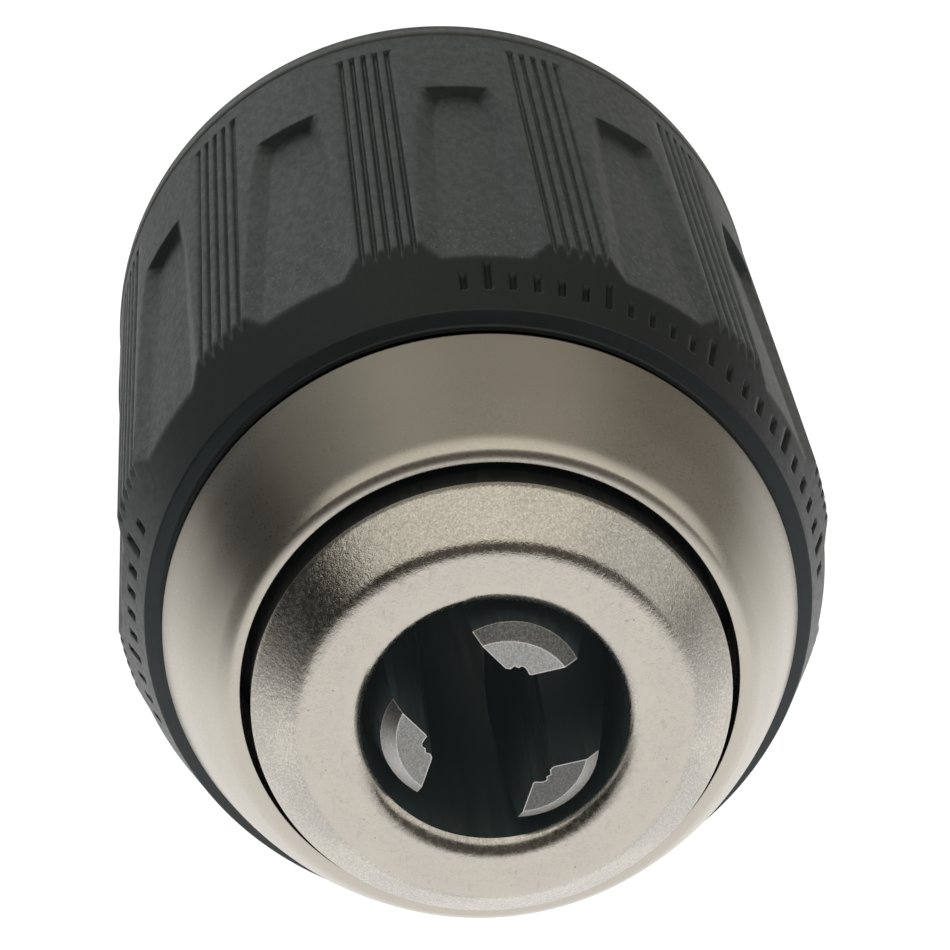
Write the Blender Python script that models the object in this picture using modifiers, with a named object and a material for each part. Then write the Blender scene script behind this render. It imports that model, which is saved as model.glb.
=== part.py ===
"""A keyless single-sleeve drill chuck with a ratchet lock, 13 mm capacity.

Every piece is modelled in the bench frame of the chuck: local z is the distance behind the
nose face, and a clock angle runs about it.  One empty then lays the chuck on its side, with
the nose along -Y, the spindle end along +Y and the clock's zero along +Z.
Lengths below are in millimetres and angles in degrees; MM turns lengths into metres.
"""
import math

import bmesh
import bpy
from mathutils import Matrix, Vector

MM = 0.001
GAP = 0.3
WELD = 0.00001
QUARTER = 90.0
FILLET_STEPS = 3
OVERRUN = 5.0
CUTTER_REACH = 60.0
SHARP_ANGLE = 32.0

# Overall lengths along the axis
JAW_TIP_Z = -0.6
BODY_REAR_Z = 58.4
MIDDLE_Z = 0.5 * (JAW_TIP_Z + BODY_REAR_Z)

# Jaws, inclined to the axis and shown open on a 7.5 mm circle
JAW_CLOCKS = (16.0, 136.0, 256.0)
JAW_TILT = 14.0
JAW_RADIUS = 4.25
JAW_LENGTH = 41.0
JAW_AXIS_AT_NOSE = 1.85
JAW_GRIP_RADIUS = 3.73
JAW_GRIP_WIDTH = 1.45
JAW_FACE_HALF_ANGLE = 60.0
JAW_TIP_BEVEL = 0.55
JAW_SWING_RADIUS = 18.3
JAW_OPENING_STROKE = 11.45
JAW_SEGMENTS = 20
JAW_BORE_RADIUS = JAW_RADIUS + 0.5 * GAP
JAW_BORE_LENGTH = 110.0

# Jaw teeth and the nut's conical thread
THREAD_PITCH = 1.8
THREAD_START = 0.4
THREAD_CUT_FROM = 20.4
THREAD_CUT_TURNS = 6
NUT_RIDGE_REACH = 0.65
NUT_RIDGE_WIDTH = 0.45
NUT_ROOT_CLEARANCE = 0.25
JAW_TOOTH_WIDTH = 0.5
JAW_TOOTH_DEPTH = 1.25
FLANK_SLOPE = 0.31
FIRST_TOOTH_AT = 9.0
THREAD_STEPS = 24

# Body
HOLE_RADIUS = 7.25
HOLE_EDGE_RADIUS = 8.4
HOLE_FILLET = 1.4
HOLE_TILT = math.degrees(math.asin((HOLE_EDGE_RADIUS - HOLE_RADIUS) / HOLE_FILLET))
NOSE_FLAT_RADIUS = 10.05
NOSE_FILLET = 1.45
NOSE_CONE_TILT = 46.4
NOSE_CONE_RADIUS = 12.95
NOSE_RADIUS = 13.17
NOSE_CONE_DEPTH = 2.9
NUT_GROOVE_RADIUS = 10.1
NUT_GROOVE_FRONT = 19.6
NUT_GROOVE_REAR = 28.0
NECK_RADIUS = 12.6
FLANGE_RADIUS = 17.6
FLANGE_FRONT = 34.2
FLANGE_REAR = 37.6
BOSS_RADIUS = 10.4
BIT_BORE_DEPTH = 36.5
THROUGH_RADIUS = 3.4
SOCKET_RADIUS = 6.35
SOCKET_FLOOR = 41.0
EDGE_CHAMFER = 0.5
FLANGE_CHAMFER = 0.6
CLIP_GROOVE_FRONT = 13.7
CLIP_GROOVE_REAR = 15.2
CLIP_GROOVE_DEPTH = 0.75
CIRCLIP_GROOVE_FRONT = 56.4
CIRCLIP_GROOVE_REAR = 57.7
CIRCLIP_GROOVE_DEPTH = 0.7

# Split nut, its band, the thrust bearing and the ratchet
NUT_RADIUS = 15.0
NUT_FRONT = 20.0
NUT_REAR = 27.4
NUT_CHAMFER = 0.3
HALF_BLOCK = 40.0
BAND_THICKNESS = 1.0
BAND_LUG_REACH = 0.8
RING_FRONT = 20.6
RING_REAR = 27.0
BALL_RADIUS = 1.0
BALL_COUNT = 12
BALL_CIRCLE = 15.75
RACE_RADIUS = 17.2
RACE_STEPS = 40
NUT_RACE_BORE = 14.1
NUT_RACE_FRONT = 27.7
NUT_RACE_REAR = 28.7
RATCHET_FRONT = 31.3
RATCHET_STEP = 32.2
RATCHET_REAR = 33.9
RATCHET_BORE = 15.0
RATCHET_TEETH = 24
RATCHET_TIP = 16.6
RATCHET_ROOT = 15.9
CAGE_INNER = 14.25
CAGE_OUTER = 17.25

# Lock spring and its cam
PAWL_ROOT_CLOCK = 224.0
PAWL_SPAN = 39.0
PAWL_OUTER = 18.0
PAWL_INNER = 17.4
PAWL_TIP = 16.9
LOCK_TURN = 24.0
CAM_RING_INNER = 18.3
CAM_PEAK = 17.6

# Front collar: the rolled lip round the nose, then its cone and skirt as (radius, z)
LIP_FLAT_RADIUS = 13.87
LIP_Z = 4.0
LIP_FILLET = 1.5
LIP_TILT = 33.0
COLLAR_CONE = [
    (17.6, 19.4),
    (17.6, 11.9),
    (18.1, 11.6),
    (17.47, 9.8),
    (16.53, 7.6),
    (15.53, 5.8),
    (15.15, 5.28),
    (14.78, 4.85),
]
COLLAR_BACK = [
    (13.72, 4.3),
    (13.72, 5.6),
    (15.4, 8.4),
    (16.6, 11.2),
    (16.6, 15.2),
    (13.5, 15.2),
    (13.5, 16.4),
    (16.6, 16.4),
    (16.6, 19.4),
]

# Rear cover, from its rim to the boss and back, as (radius, z)
COVER_OUTLINE = [
    (18.5, 56.6),
    (18.5, 55.6),
    (15.6, 55.6),
    (14.8, 54.9),
    (10.7, 54.9),
    (10.7, 56.1),
    (14.3, 56.1),
    (15.1, 56.6),
]

# Drive ring and sleeve
DRIVE_INNER = 17.4
DRIVE_OUTER = 18.6
LUG_WIDTH = 12.0
BAND_LUG_WIDTH = 16.0
SLEEVE_BORE = 18.9
SLEEVE_FRONT_BORE = 17.9
SLEEVE_FRONT = 12.35
SLEEVE_FACE_RADIUS = 18.17
SLEEVE_STEP = 20.3
SLEEVE_REAR = 57.4
SLEEVE_LIP_RADIUS = 19.08
SLEEVE_LIP_Z = 12.7
SHOULDER_RADIUS = 21.05
SHOULDER_Z = 18.6
LAND_END_RADIUS = 21.42
LAND_END_Z = 55.2
RIM_RADIUS = 21.5

# Grip pattern
SECTORS = 12
GROOVES_PER_LAND = 5
GROOVE_SPACING = 2.05
GROOVE_WIDTH = 0.36
GROOVE_DEPTH = 0.45
GROOVE_END_Z = 52.9
PANEL_DEPTH = 0.67
PANEL_FRONT_ANGLE = 10.0
PANEL_REAR_ANGLE = 6.9
PANEL_WALL_ANGLE = 2.9
PANEL_END_Z = 44.9
PANEL_END_SLOPE = 0.6
PANEL_CORNER = 1.0


def material(name, colour, roughness, metallic):
    """A Principled material with one colour and finish."""
    finish = bpy.data.materials.new(name)
    finish.use_nodes = True
    shader = finish.node_tree.nodes["Principled BSDF"]
    shader.inputs["Base Color"].default_value = (*colour, 1.0)
    shader.inputs["Roughness"].default_value = roughness
    shader.inputs["Metallic"].default_value = metallic
    finish.diffuse_color = (*colour, 1.0)
    return finish


def polar(radius, clock, z=0.0):
    """A bench-frame point in metres, from millimetres and a clock angle."""
    angle = math.radians(clock - QUARTER)
    return Vector((radius * math.cos(angle), radius * math.sin(angle), z)) * MM


def slope(run_start, run_end, fraction):
    """The value a given fraction of the way from one number to another."""
    return run_start + (run_end - run_start) * fraction


def land_radius(z):
    """Radius of the grip's lands at a distance behind the nose face."""
    return slope(SHOULDER_RADIUS, LAND_END_RADIUS, (z - SHOULDER_Z) / (LAND_END_Z - SHOULDER_Z))


def on_jaw_line(along, outward):
    """Radius and z of a point in a jaw's plane, from its axis point at the tip."""
    tilt = math.radians(JAW_TILT)
    start = JAW_AXIS_AT_NOSE + JAW_TIP_Z * math.tan(tilt)
    radius = start + along * math.sin(tilt) + outward * math.cos(tilt)
    z = JAW_TIP_Z + along * math.cos(tilt) - outward * math.sin(tilt)
    return radius, z


class Bench:
    """The empty that lays the chuck down, with the collections of pieces and cutters."""

    def __init__(self, name):
        self.pieces = bpy.data.collections.new(name)
        self.cutters = bpy.data.collections.new("cutters")
        bpy.context.scene.collection.children.link(self.pieces)
        bpy.context.scene.collection.children.link(self.cutters)
        self.empty = bpy.data.objects.new("chuck_axis", None)
        self.empty.rotation_euler = (-math.pi / 2, 0.0, 0.0)
        self.empty.location = (0.0, -MIDDLE_Z * MM, 0.0)
        self.pieces.objects.link(self.empty)

    def place(self, mesh, name, finish=None):
        """Put a mesh on the bench, as a piece when it has a finish and as a cutter when not."""
        item = bpy.data.objects.new(name, mesh)
        item.parent = self.empty
        if finish is None:
            self.cutters.objects.link(item)
            item.hide_render = True
            item.display_type = "WIRE"
        else:
            self.pieces.objects.link(item)
            mesh.materials.append(finish)
        return item


def boolean(piece, cutter, operation="DIFFERENCE"):
    """Cut a piece with another object, or join it."""
    step = piece.modifiers.new(cutter.name, "BOOLEAN")
    step.operation = operation
    step.solver = "EXACT"
    step.object = cutter
    return piece


def evaluated_mesh(item, name):
    """The mesh of an object after its modifiers, in its own coordinates."""
    bpy.context.view_layer.update()
    graph = bpy.context.evaluated_depsgraph_get()
    return bpy.data.meshes.new_from_object(item.evaluated_get(graph), depsgraph=graph)


def bake(piece):
    """Keep the shape the modifiers make, and shade it smooth between its sharp edges."""
    mesh = evaluated_mesh(piece, piece.name)
    piece.modifiers.clear()
    piece.data = mesh
    mesh.name = piece.name
    mesh.shade_smooth()
    mesh.set_sharp_from_angle(angle=math.radians(SHARP_ANGLE))
    return piece


def turned(bench, name, outline, steps, finish=None):
    """Turn a closed outline of (radius, z) about the axis; it runs down its outer side."""
    mesh = bpy.data.meshes.new(name)
    shape = bmesh.new()
    corners = [shape.verts.new((radius * MM, 0.0, z * MM)) for radius, z in outline]
    for here, there in zip(corners, corners[1:] + corners[:1]):
        shape.edges.new((here, there))
    shape.to_mesh(mesh)
    shape.free()
    piece = bench.place(mesh, name, finish)
    screw = piece.modifiers.new("turn", "SCREW")
    screw.axis = "Z"
    screw.angle = 2.0 * math.pi
    screw.steps = steps
    screw.render_steps = steps
    screw.merge_threshold = WELD
    return piece


def washer(bench, name, inner, outer, front, rear, steps, finish=None):
    """A plain turned ring."""
    outline = [(outer, rear), (outer, front), (inner, front), (inner, rear)]
    return turned(bench, name, outline, steps, finish)


def plate(bench, name, outlines, front, rear, finish=None):
    """A flat plate across the axis, from outlines of (radius, clock): the rest are holes."""
    curve = bpy.data.curves.new(name, "CURVE")
    curve.dimensions = "2D"
    curve.fill_mode = "BOTH"
    curve.extrude = 0.5 * (rear - front) * MM
    for outline in outlines:
        spline = curve.splines.new("POLY")
        spline.points.add(len(outline) - 1)
        spline.use_cyclic_u = True
        for point, (radius, clock) in zip(spline.points, outline):
            point.co = (*polar(radius, clock), 1.0)
    drawn = bpy.data.objects.new(name, curve)
    bench.cutters.objects.link(drawn)
    mesh = evaluated_mesh(drawn, name)
    bpy.data.objects.remove(drawn)
    shape = bmesh.new()
    shape.from_mesh(mesh)
    bmesh.ops.translate(shape, verts=shape.verts, vec=(0.0, 0.0, 0.5 * (front + rear) * MM))
    bmesh.ops.remove_doubles(shape, verts=shape.verts, dist=WELD)
    bmesh.ops.recalc_face_normals(shape, faces=shape.faces)
    shape.to_mesh(mesh)
    shape.free()
    return bench.place(mesh, name, finish)


def arc(radius, start, end, count):
    """Points of (radius, clock) along an arc, both ends included."""
    return [(radius, slope(start, end, index / count)) for index in range(count + 1)]


def circle(radius, count):
    """Points of (radius, clock) once round."""
    return [(radius, 360.0 * index / count) for index in range(count)]


def sector(bench, name, inner, outer, start, end, front, rear, finish=None):
    """A block bounded by two arcs and two radial sides."""
    outline = arc(outer, start, end, 4) + arc(inner, end, start, 4)
    return plate(bench, name, [outline], front, rear, finish)


def primitive(bench, name, adder, place, finish=None, **sizes):
    """A Blender primitive in the bench frame, moved by a matrix."""
    shape = bmesh.new()
    adder(shape, matrix=place, **sizes)
    mesh = bpy.data.meshes.new(name)
    shape.to_mesh(mesh)
    shape.free()
    return bench.place(mesh, name, finish)


def loft(shape, rings):
    """Skin a row of rings with equal numbers of points, and cap both ends."""
    rows = [[shape.verts.new(point) for point in ring] for ring in rings]
    for low, high in zip(rows, rows[1:]):
        for index in range(len(low)):
            after = (index + 1) % len(low)
            shape.faces.new((low[index], low[after], high[after], high[index]))
    shape.faces.new(rows[0][::-1])
    shape.faces.new(rows[-1])


def lofted(bench, name, solids):
    """A cutter of one or more lofted solids."""
    shape = bmesh.new()
    for rings in solids:
        loft(shape, rings)
    bmesh.ops.recalc_face_normals(shape, faces=shape.faces)
    mesh = bpy.data.meshes.new(name)
    shape.to_mesh(mesh)
    shape.free()
    return bench.place(mesh, name)


def fillet(radius, z, bend, tilt):
    """Points from a flat face's edge round a bend, outward, or inward when bend is negative."""
    points = []
    for step in range(FILLET_STEPS + 1):
        angle = math.radians(tilt * step / FILLET_STEPS)
        points.append((radius + bend * math.sin(angle), z + abs(bend) * (1.0 - math.cos(angle))))
    return points


def jaw_matrix(clock):
    """The jaw's own frame in the bench frame: z runs back along its axis, x outward."""
    radius, z = on_jaw_line(0.0, 0.0)
    place = Matrix.Translation(polar(radius, clock, z))
    turn = Matrix.Rotation(math.radians(clock - QUARTER), 4, "Z")
    lean = Matrix.Rotation(math.radians(JAW_TILT), 4, "Y")
    return place @ turn @ lean


def chuck_body(bench, finish):
    """One-piece steel body: nose, nut groove, flange and the boss with the spindle socket."""
    fillet_end = fillet(NOSE_FLAT_RADIUS, 0.0, NOSE_FILLET, NOSE_CONE_TILT)[-1]
    cone_run = NOSE_CONE_RADIUS - fillet_end[0]
    cone_end_z = fillet_end[1] + cone_run * math.tan(math.radians(NOSE_CONE_TILT))
    outline = [
        (BOSS_RADIUS - EDGE_CHAMFER, BODY_REAR_Z),
        (BOSS_RADIUS, BODY_REAR_Z - EDGE_CHAMFER),
        (BOSS_RADIUS, CIRCLIP_GROOVE_REAR),
        (BOSS_RADIUS - CIRCLIP_GROOVE_DEPTH, CIRCLIP_GROOVE_REAR),
        (BOSS_RADIUS - CIRCLIP_GROOVE_DEPTH, CIRCLIP_GROOVE_FRONT),
        (BOSS_RADIUS, CIRCLIP_GROOVE_FRONT),
        (BOSS_RADIUS, FLANGE_REAR),
        (FLANGE_RADIUS - FLANGE_CHAMFER, FLANGE_REAR),
        (FLANGE_RADIUS, FLANGE_REAR - FLANGE_CHAMFER),
        (FLANGE_RADIUS, FLANGE_FRONT),
        (NECK_RADIUS, FLANGE_FRONT),
        (NECK_RADIUS, NUT_GROOVE_REAR),
        (NUT_GROOVE_RADIUS, NUT_GROOVE_REAR),
        (NUT_GROOVE_RADIUS, NUT_GROOVE_FRONT),
        (NOSE_RADIUS, NUT_GROOVE_FRONT),
        (NOSE_RADIUS, CLIP_GROOVE_REAR),
        (NOSE_RADIUS - CLIP_GROOVE_DEPTH, CLIP_GROOVE_REAR),
        (NOSE_RADIUS - CLIP_GROOVE_DEPTH, CLIP_GROOVE_FRONT),
        (NOSE_RADIUS, CLIP_GROOVE_FRONT),
        (NOSE_RADIUS, NOSE_CONE_DEPTH),
        (NOSE_CONE_RADIUS, cone_end_z),
        *fillet(NOSE_FLAT_RADIUS, 0.0, NOSE_FILLET, NOSE_CONE_TILT)[::-1],
        *fillet(HOLE_EDGE_RADIUS, 0.0, -HOLE_FILLET, HOLE_TILT),
        (HOLE_RADIUS, BIT_BORE_DEPTH),
        (THROUGH_RADIUS, BIT_BORE_DEPTH + 2.0),
        (THROUGH_RADIUS, SOCKET_FLOOR),
        (SOCKET_RADIUS, SOCKET_FLOOR),
        (SOCKET_RADIUS, BODY_REAR_Z - EDGE_CHAMFER),
        (SOCKET_RADIUS + EDGE_CHAMFER, BODY_REAR_Z),
    ]
    body = turned(bench, "chuck_body", outline, 40, finish)
    for number, clock in enumerate(JAW_CLOCKS, start=1):
        ahead = Matrix.Translation((0.0, 0.0, 0.25 * JAW_BORE_LENGTH * MM))
        bore = primitive(
            bench, f"jaw_bore_{number}", bmesh.ops.create_cone, jaw_matrix(clock) @ ahead,
            cap_ends=True, segments=JAW_SEGMENTS,
            radius1=JAW_BORE_RADIUS * MM, radius2=JAW_BORE_RADIUS * MM,
            depth=JAW_BORE_LENGTH * MM,
        )
        boolean(body, bore)
    return body


def jaw_teeth_cutter(bench, number, clock):
    """The slots between one jaw's teeth, in step with the nut's thread at this clock angle."""
    first = THREAD_START + THREAD_PITCH * clock / 360.0
    skip = math.ceil((FIRST_TOOTH_AT - first) / THREAD_PITCH)
    centre = first + skip * THREAD_PITCH
    half_width = JAW_RADIUS + 1.0
    top = JAW_RADIUS + GAP
    floor = JAW_RADIUS - JAW_TOOTH_DEPTH
    top_half = 0.5 * (THREAD_PITCH - JAW_TOOTH_WIDTH) + 0.5 * FLANK_SLOPE * GAP
    floor_half = 0.5 * (THREAD_PITCH - JAW_TOOTH_WIDTH) - 0.5 * FLANK_SLOPE * JAW_TOOTH_DEPTH
    place = jaw_matrix(clock)
    slots = []
    while centre < JAW_LENGTH + 0.5 * THREAD_PITCH:
        profile = [
            (top, centre - top_half),
            (top, centre + top_half),
            (floor, centre + floor_half),
            (floor, centre - floor_half),
        ]
        rings = []
        for side in (-half_width, half_width):
            rings.append([place @ (Vector((x, side, z)) * MM) for x, z in profile])
        slots.append(rings)
        centre += THREAD_PITCH
    return lofted(bench, f"jaw_slots_{number}", slots)


def grip_cutter(bench, number, clock):
    """The prism that leaves a jaw's two faces at 120 degrees and its narrow gripping flat."""
    reach = 8.0
    half = 0.5 * JAW_GRIP_WIDTH
    spread = reach * math.sin(math.radians(JAW_FACE_HALF_ANGLE))
    outer = JAW_GRIP_RADIUS + reach * math.cos(math.radians(JAW_FACE_HALF_ANGLE))
    inner = -2.0 * JAW_RADIUS
    profile = [
        (inner, -half - spread),
        (outer, -half - spread),
        (JAW_GRIP_RADIUS, -half),
        (JAW_GRIP_RADIUS, half),
        (outer, half + spread),
        (inner, half + spread),
    ]
    turn = Matrix.Rotation(math.radians(clock - QUARTER), 4, "Z")
    rings = []
    for z in (JAW_TIP_Z - OVERRUN, BIT_BORE_DEPTH):
        rings.append([turn @ (Vector((x, y, z)) * MM) for x, y in profile])
    return lofted(bench, f"jaw_grip_cut_{number}", [rings])


def jaw(bench, number, clock, finish):
    """One jaw: an inclined round shank with a bevelled tip, a gripping edge and teeth."""
    depth = (JAW_LENGTH + OVERRUN) * MM
    middle = Matrix.Translation((0.0, 0.0, 0.5 * depth - OVERRUN * MM))
    piece = primitive(
        bench, f"jaw_{number}", bmesh.ops.create_cone, middle, finish,
        cap_ends=True, segments=JAW_SEGMENTS,
        radius1=JAW_RADIUS * MM, radius2=JAW_RADIUS * MM, depth=depth,
    )
    piece.matrix_local = jaw_matrix(clock)

    tip_radius = JAW_RADIUS / math.cos(math.radians(JAW_TILT)) - JAW_TIP_BEVEL
    radius, z = on_jaw_line(0.0, 0.0)
    cone_place = Matrix.Translation(polar(radius, clock, z + 0.5 * CUTTER_REACH))
    bevel = primitive(
        bench, f"jaw_bevel_{number}", bmesh.ops.create_cone, cone_place,
        cap_ends=True, segments=2 * JAW_SEGMENTS,
        radius1=tip_radius * MM, radius2=(tip_radius + CUTTER_REACH) * MM,
        depth=CUTTER_REACH * MM,
    )
    boolean(piece, bevel, "INTERSECT")
    boolean(piece, grip_cutter(bench, number, clock))
    boolean(piece, jaw_teeth_cutter(bench, number, clock))

    forward = jaw_matrix(clock).to_3x3() @ Vector((0.0, 0.0, -JAW_OPENING_STROKE * MM))
    swing_middle = Matrix.Translation((0.0, 0.0, 0.5 * CUTTER_REACH * MM))
    swing = primitive(
        bench, f"jaw_swing_{number}", bmesh.ops.create_cone,
        Matrix.Translation(forward) @ swing_middle, cap_ends=True, segments=2 * JAW_SEGMENTS,
        radius1=JAW_SWING_RADIUS * MM, radius2=JAW_SWING_RADIUS * MM,
        depth=2.0 * CUTTER_REACH * MM,
    )
    boolean(piece, swing, "INTERSECT")
    return piece


def nut_halves(bench, finishes):
    """The split nut with its conical thread, cracked into two halves."""
    crest_front = on_jaw_line((NUT_FRONT - JAW_TIP_Z) / math.cos(math.radians(JAW_TILT)), 0.0)
    rise = math.tan(math.radians(JAW_TILT))
    crest = (JAW_RADIUS - NUT_RIDGE_REACH) / math.cos(math.radians(JAW_TILT))
    bore_front = crest_front[0] + crest
    bore_rear = bore_front + (NUT_REAR - NUT_FRONT) * rise
    outline = [
        (NUT_RADIUS - NUT_CHAMFER, NUT_REAR),
        (NUT_RADIUS, NUT_REAR - NUT_CHAMFER),
        (NUT_RADIUS, NUT_FRONT + NUT_CHAMFER),
        (NUT_RADIUS - NUT_CHAMFER, NUT_FRONT),
        (bore_front, NUT_FRONT),
        (bore_rear, NUT_REAR),
    ]
    blank = turned(bench, "nut_blank", outline, 2 * THREAD_STEPS)

    over = 0.3
    inner_half = 0.5 * (THREAD_PITCH - NUT_RIDGE_WIDTH + FLANK_SLOPE * over)
    root_drop = NUT_RIDGE_REACH + NUT_ROOT_CLEARANCE
    root_half = 0.5 * (THREAD_PITCH - NUT_RIDGE_WIDTH - FLANK_SLOPE * root_drop)
    inner = JAW_RADIUS - NUT_RIDGE_REACH - over
    root = JAW_RADIUS + NUT_ROOT_CLEARANCE
    first = math.floor((THREAD_CUT_FROM - THREAD_START) / THREAD_PITCH)
    rings = []
    for step in range(THREAD_CUT_TURNS * THREAD_STEPS + 1):
        clock = 360.0 * step / THREAD_STEPS
        centre = THREAD_START + THREAD_PITCH * (first + 0.5 + clock / 360.0)
        ring = []
        for along, outward in (
            (centre - inner_half, inner),
            (centre - root_half, root),
            (centre + root_half, root),
            (centre + inner_half, inner),
        ):
            radius, z = on_jaw_line(along, outward)
            ring.append(polar(radius, clock, z))
        rings.append(ring)
    boolean(blank, lofted(bench, "nut_thread_cutter", [rings]))
    threaded = evaluated_mesh(blank, "split_nut")

    halves = []
    for name, side, finish in (("nut_half_a", 1.0, finishes[0]), ("nut_half_b", -1.0, finishes[1])):
        half = bench.place(threaded.copy(), name, finish)
        aside = -side * 0.5 * (HALF_BLOCK - GAP)
        away = Matrix.Translation((aside * MM, 0.0, NUT_FRONT * MM))
        block = away @ Matrix.Scale(HALF_BLOCK * MM, 4)
        boolean(half, primitive(bench, f"{name}_block", bmesh.ops.create_cube, block, size=1.0))
        halves.append(half)
    return halves


def nut_band(bench, finish):
    """The hoop that holds the split nut together, with two driving lugs."""
    inner = NUT_RADIUS + GAP
    outer = inner + BAND_THICKNESS
    rim = []
    for clock in (90.0, 270.0):
        half = 0.5 * BAND_LUG_WIDTH
        rim += arc(outer + BAND_LUG_REACH, clock - half, clock + half, 3)
        rim += arc(outer, clock + half, clock + 180.0 - half, 18)
    return plate(bench, "nut_band", [rim, circle(inner, 48)], RING_FRONT, RING_REAR, finish)


def drive_ring(bench, finish):
    """The ring in the sleeve whose lugs take up the nut band's, after the lock has turned."""
    tip = NUT_RADIUS + GAP + BAND_THICKNESS + GAP
    bore = []
    for clock in (90.0, 270.0):
        ahead = clock + 0.5 * BAND_LUG_WIDTH + 1.0
        behind = clock - 0.5 * BAND_LUG_WIDTH - 1.0 - LOCK_TURN - LUG_WIDTH
        bore += arc(tip, behind, behind + LUG_WIDTH, 3)
        bore += arc(DRIVE_INNER, behind + LUG_WIDTH, ahead, 5)
        bore += arc(tip, ahead, ahead + LUG_WIDTH, 3)
        bore += arc(DRIVE_INNER, ahead + LUG_WIDTH, behind + 180.0, 12)
    outlines = [circle(DRIVE_OUTER, 48), bore]
    return plate(bench, "drive_ring", outlines, RING_FRONT, RING_REAR, finish)


def nut_race(bench, finish):
    """The race behind the nut, with the finger that carries the lock spring."""
    start = PAWL_ROOT_CLOCK + 1.5
    end = start + 8.0
    rim = arc(RACE_RADIUS, end, start + 360.0, RACE_STEPS) + arc(PAWL_OUTER, start, end, 4)
    race = plate(
        bench, "nut_race", [rim, circle(NUT_RACE_BORE, 48)], NUT_RACE_FRONT, NUT_RACE_REAR, finish
    )
    finger = sector(
        bench, "spring_finger", PAWL_INNER + 0.1, PAWL_OUTER - 0.05, start + 0.5, end - 0.5,
        NUT_RACE_FRONT + 0.4, RATCHET_REAR,
    )
    return boolean(race, finger, "UNION")


def lock_spring(bench, finish):
    """The leaf whose nose drops between two ratchet teeth when the sleeve is locked."""
    root = PAWL_ROOT_CLOCK
    end = root - PAWL_SPAN - 1.6
    nose = root - PAWL_SPAN
    outline = arc(PAWL_OUTER, root, end, 12) + [
        (PAWL_INNER, end),
        (PAWL_TIP, nose - 0.8),
        (PAWL_TIP, nose + 0.8),
        (PAWL_INNER, nose + 1.8),
    ]
    outline += arc(PAWL_INNER, nose + 4.0, root, 11)
    return plate(bench, "lock_spring", [outline], RATCHET_STEP + 0.5, RATCHET_REAR - 0.1, finish)


def lock_cam(bench, finish):
    """The liner in the sleeve whose ramp presses the lock spring in."""
    free_end = PAWL_ROOT_CLOCK - PAWL_SPAN - 2.5
    peak = free_end - LOCK_TURN
    bore = arc(CAM_RING_INNER, free_end, peak - 7.0 + 360.0, 36)
    bore += [(CAM_PEAK, peak - 5.0 + 360.0), (CAM_PEAK, peak - 2.5 + 360.0)]
    bore += [(CAM_PEAK, peak + 360.0)]
    for index in range(1, 6):
        bore.append((slope(CAM_PEAK, CAM_RING_INNER, index / 6), peak + 360.0 + 4.0 * index))
    outlines = [circle(DRIVE_OUTER, 48), bore]
    return plate(bench, "lock_cam", outlines, RATCHET_STEP + 0.5, RATCHET_REAR - 0.1, finish)


def ratchet_race(bench, finish):
    """The race on the body's flange, with ratchet teeth round its rear half."""
    pitch = 360.0 / RATCHET_TEETH
    rim = []
    for tooth in range(RATCHET_TEETH):
        start = tooth * pitch
        rim += [
            (RATCHET_ROOT, start),
            (RATCHET_ROOT, start + 0.57 * pitch),
            (RATCHET_TIP, start + 0.86 * pitch),
            (RATCHET_TIP, start + 0.96 * pitch),
        ]
    toothed = plate(
        bench, "ratchet_race", [rim, circle(RATCHET_BORE, 36)],
        RATCHET_FRONT + 0.4, RATCHET_REAR, finish,
    )
    disc = washer(
        bench, "ratchet_disc", RATCHET_BORE + 0.02, RACE_RADIUS, RATCHET_FRONT, RATCHET_STEP,
        RACE_STEPS,
    )
    return boolean(toothed, disc, "UNION")


def bearing(bench, cage_finish, ball_finish):
    """The ball cage and its ring of balls."""
    middle = 0.5 * (NUT_RACE_REAR + RATCHET_FRONT)
    cage = washer(
        bench, "ball_cage", CAGE_INNER, CAGE_OUTER, middle - 0.6, middle + 0.6, 36, cage_finish
    )
    pocket_radius = (BALL_RADIUS + GAP) * MM
    shape = bmesh.new()
    ball_mesh = bpy.data.meshes.new("bearing_ball")
    bmesh.ops.create_uvsphere(shape, u_segments=10, v_segments=6, radius=BALL_RADIUS * MM)
    shape.to_mesh(ball_mesh)
    shape.free()
    ball_mesh.shade_smooth()
    ball_mesh.materials.append(ball_finish)
    pockets = bmesh.new()
    for number in range(BALL_COUNT):
        centre = polar(BALL_CIRCLE, number * 360.0 / BALL_COUNT, middle)
        bmesh.ops.create_cone(
            pockets, cap_ends=True, segments=8, radius1=pocket_radius, radius2=pocket_radius,
            depth=OVERRUN * MM, matrix=Matrix.Translation(centre),
        )
        ball = bpy.data.objects.new(f"bearing_ball_{number + 1:02d}", ball_mesh)
        ball.parent = bench.empty
        ball.location = centre
        bench.pieces.objects.link(ball)
    pocket_mesh = bpy.data.meshes.new("ball_pockets")
    pockets.to_mesh(pocket_mesh)
    pockets.free()
    boolean(cage, bench.place(pocket_mesh, "ball_pockets"))
    return cage


def open_ring(bench, name, finish, inner, outer, clock, gap_angle, front, rear):
    """A snap ring with a mouth centred on a clock angle."""
    start = clock + 0.5 * gap_angle
    end = clock + 360.0 - 0.5 * gap_angle
    outline = arc(outer, start, end, 30) + arc(inner, end, start, 30)
    return plate(bench, name, [outline], front, rear, finish)


def front_collar(bench, finish):
    """The plated steel collar: rolled lip, convex cone and the skirt inside the sleeve."""
    lip = fillet(LIP_FLAT_RADIUS, LIP_Z, LIP_FILLET, LIP_TILT)
    outline = COLLAR_CONE + lip[::-1] + COLLAR_BACK
    return turned(bench, "front_collar", outline, 48, finish)


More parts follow.
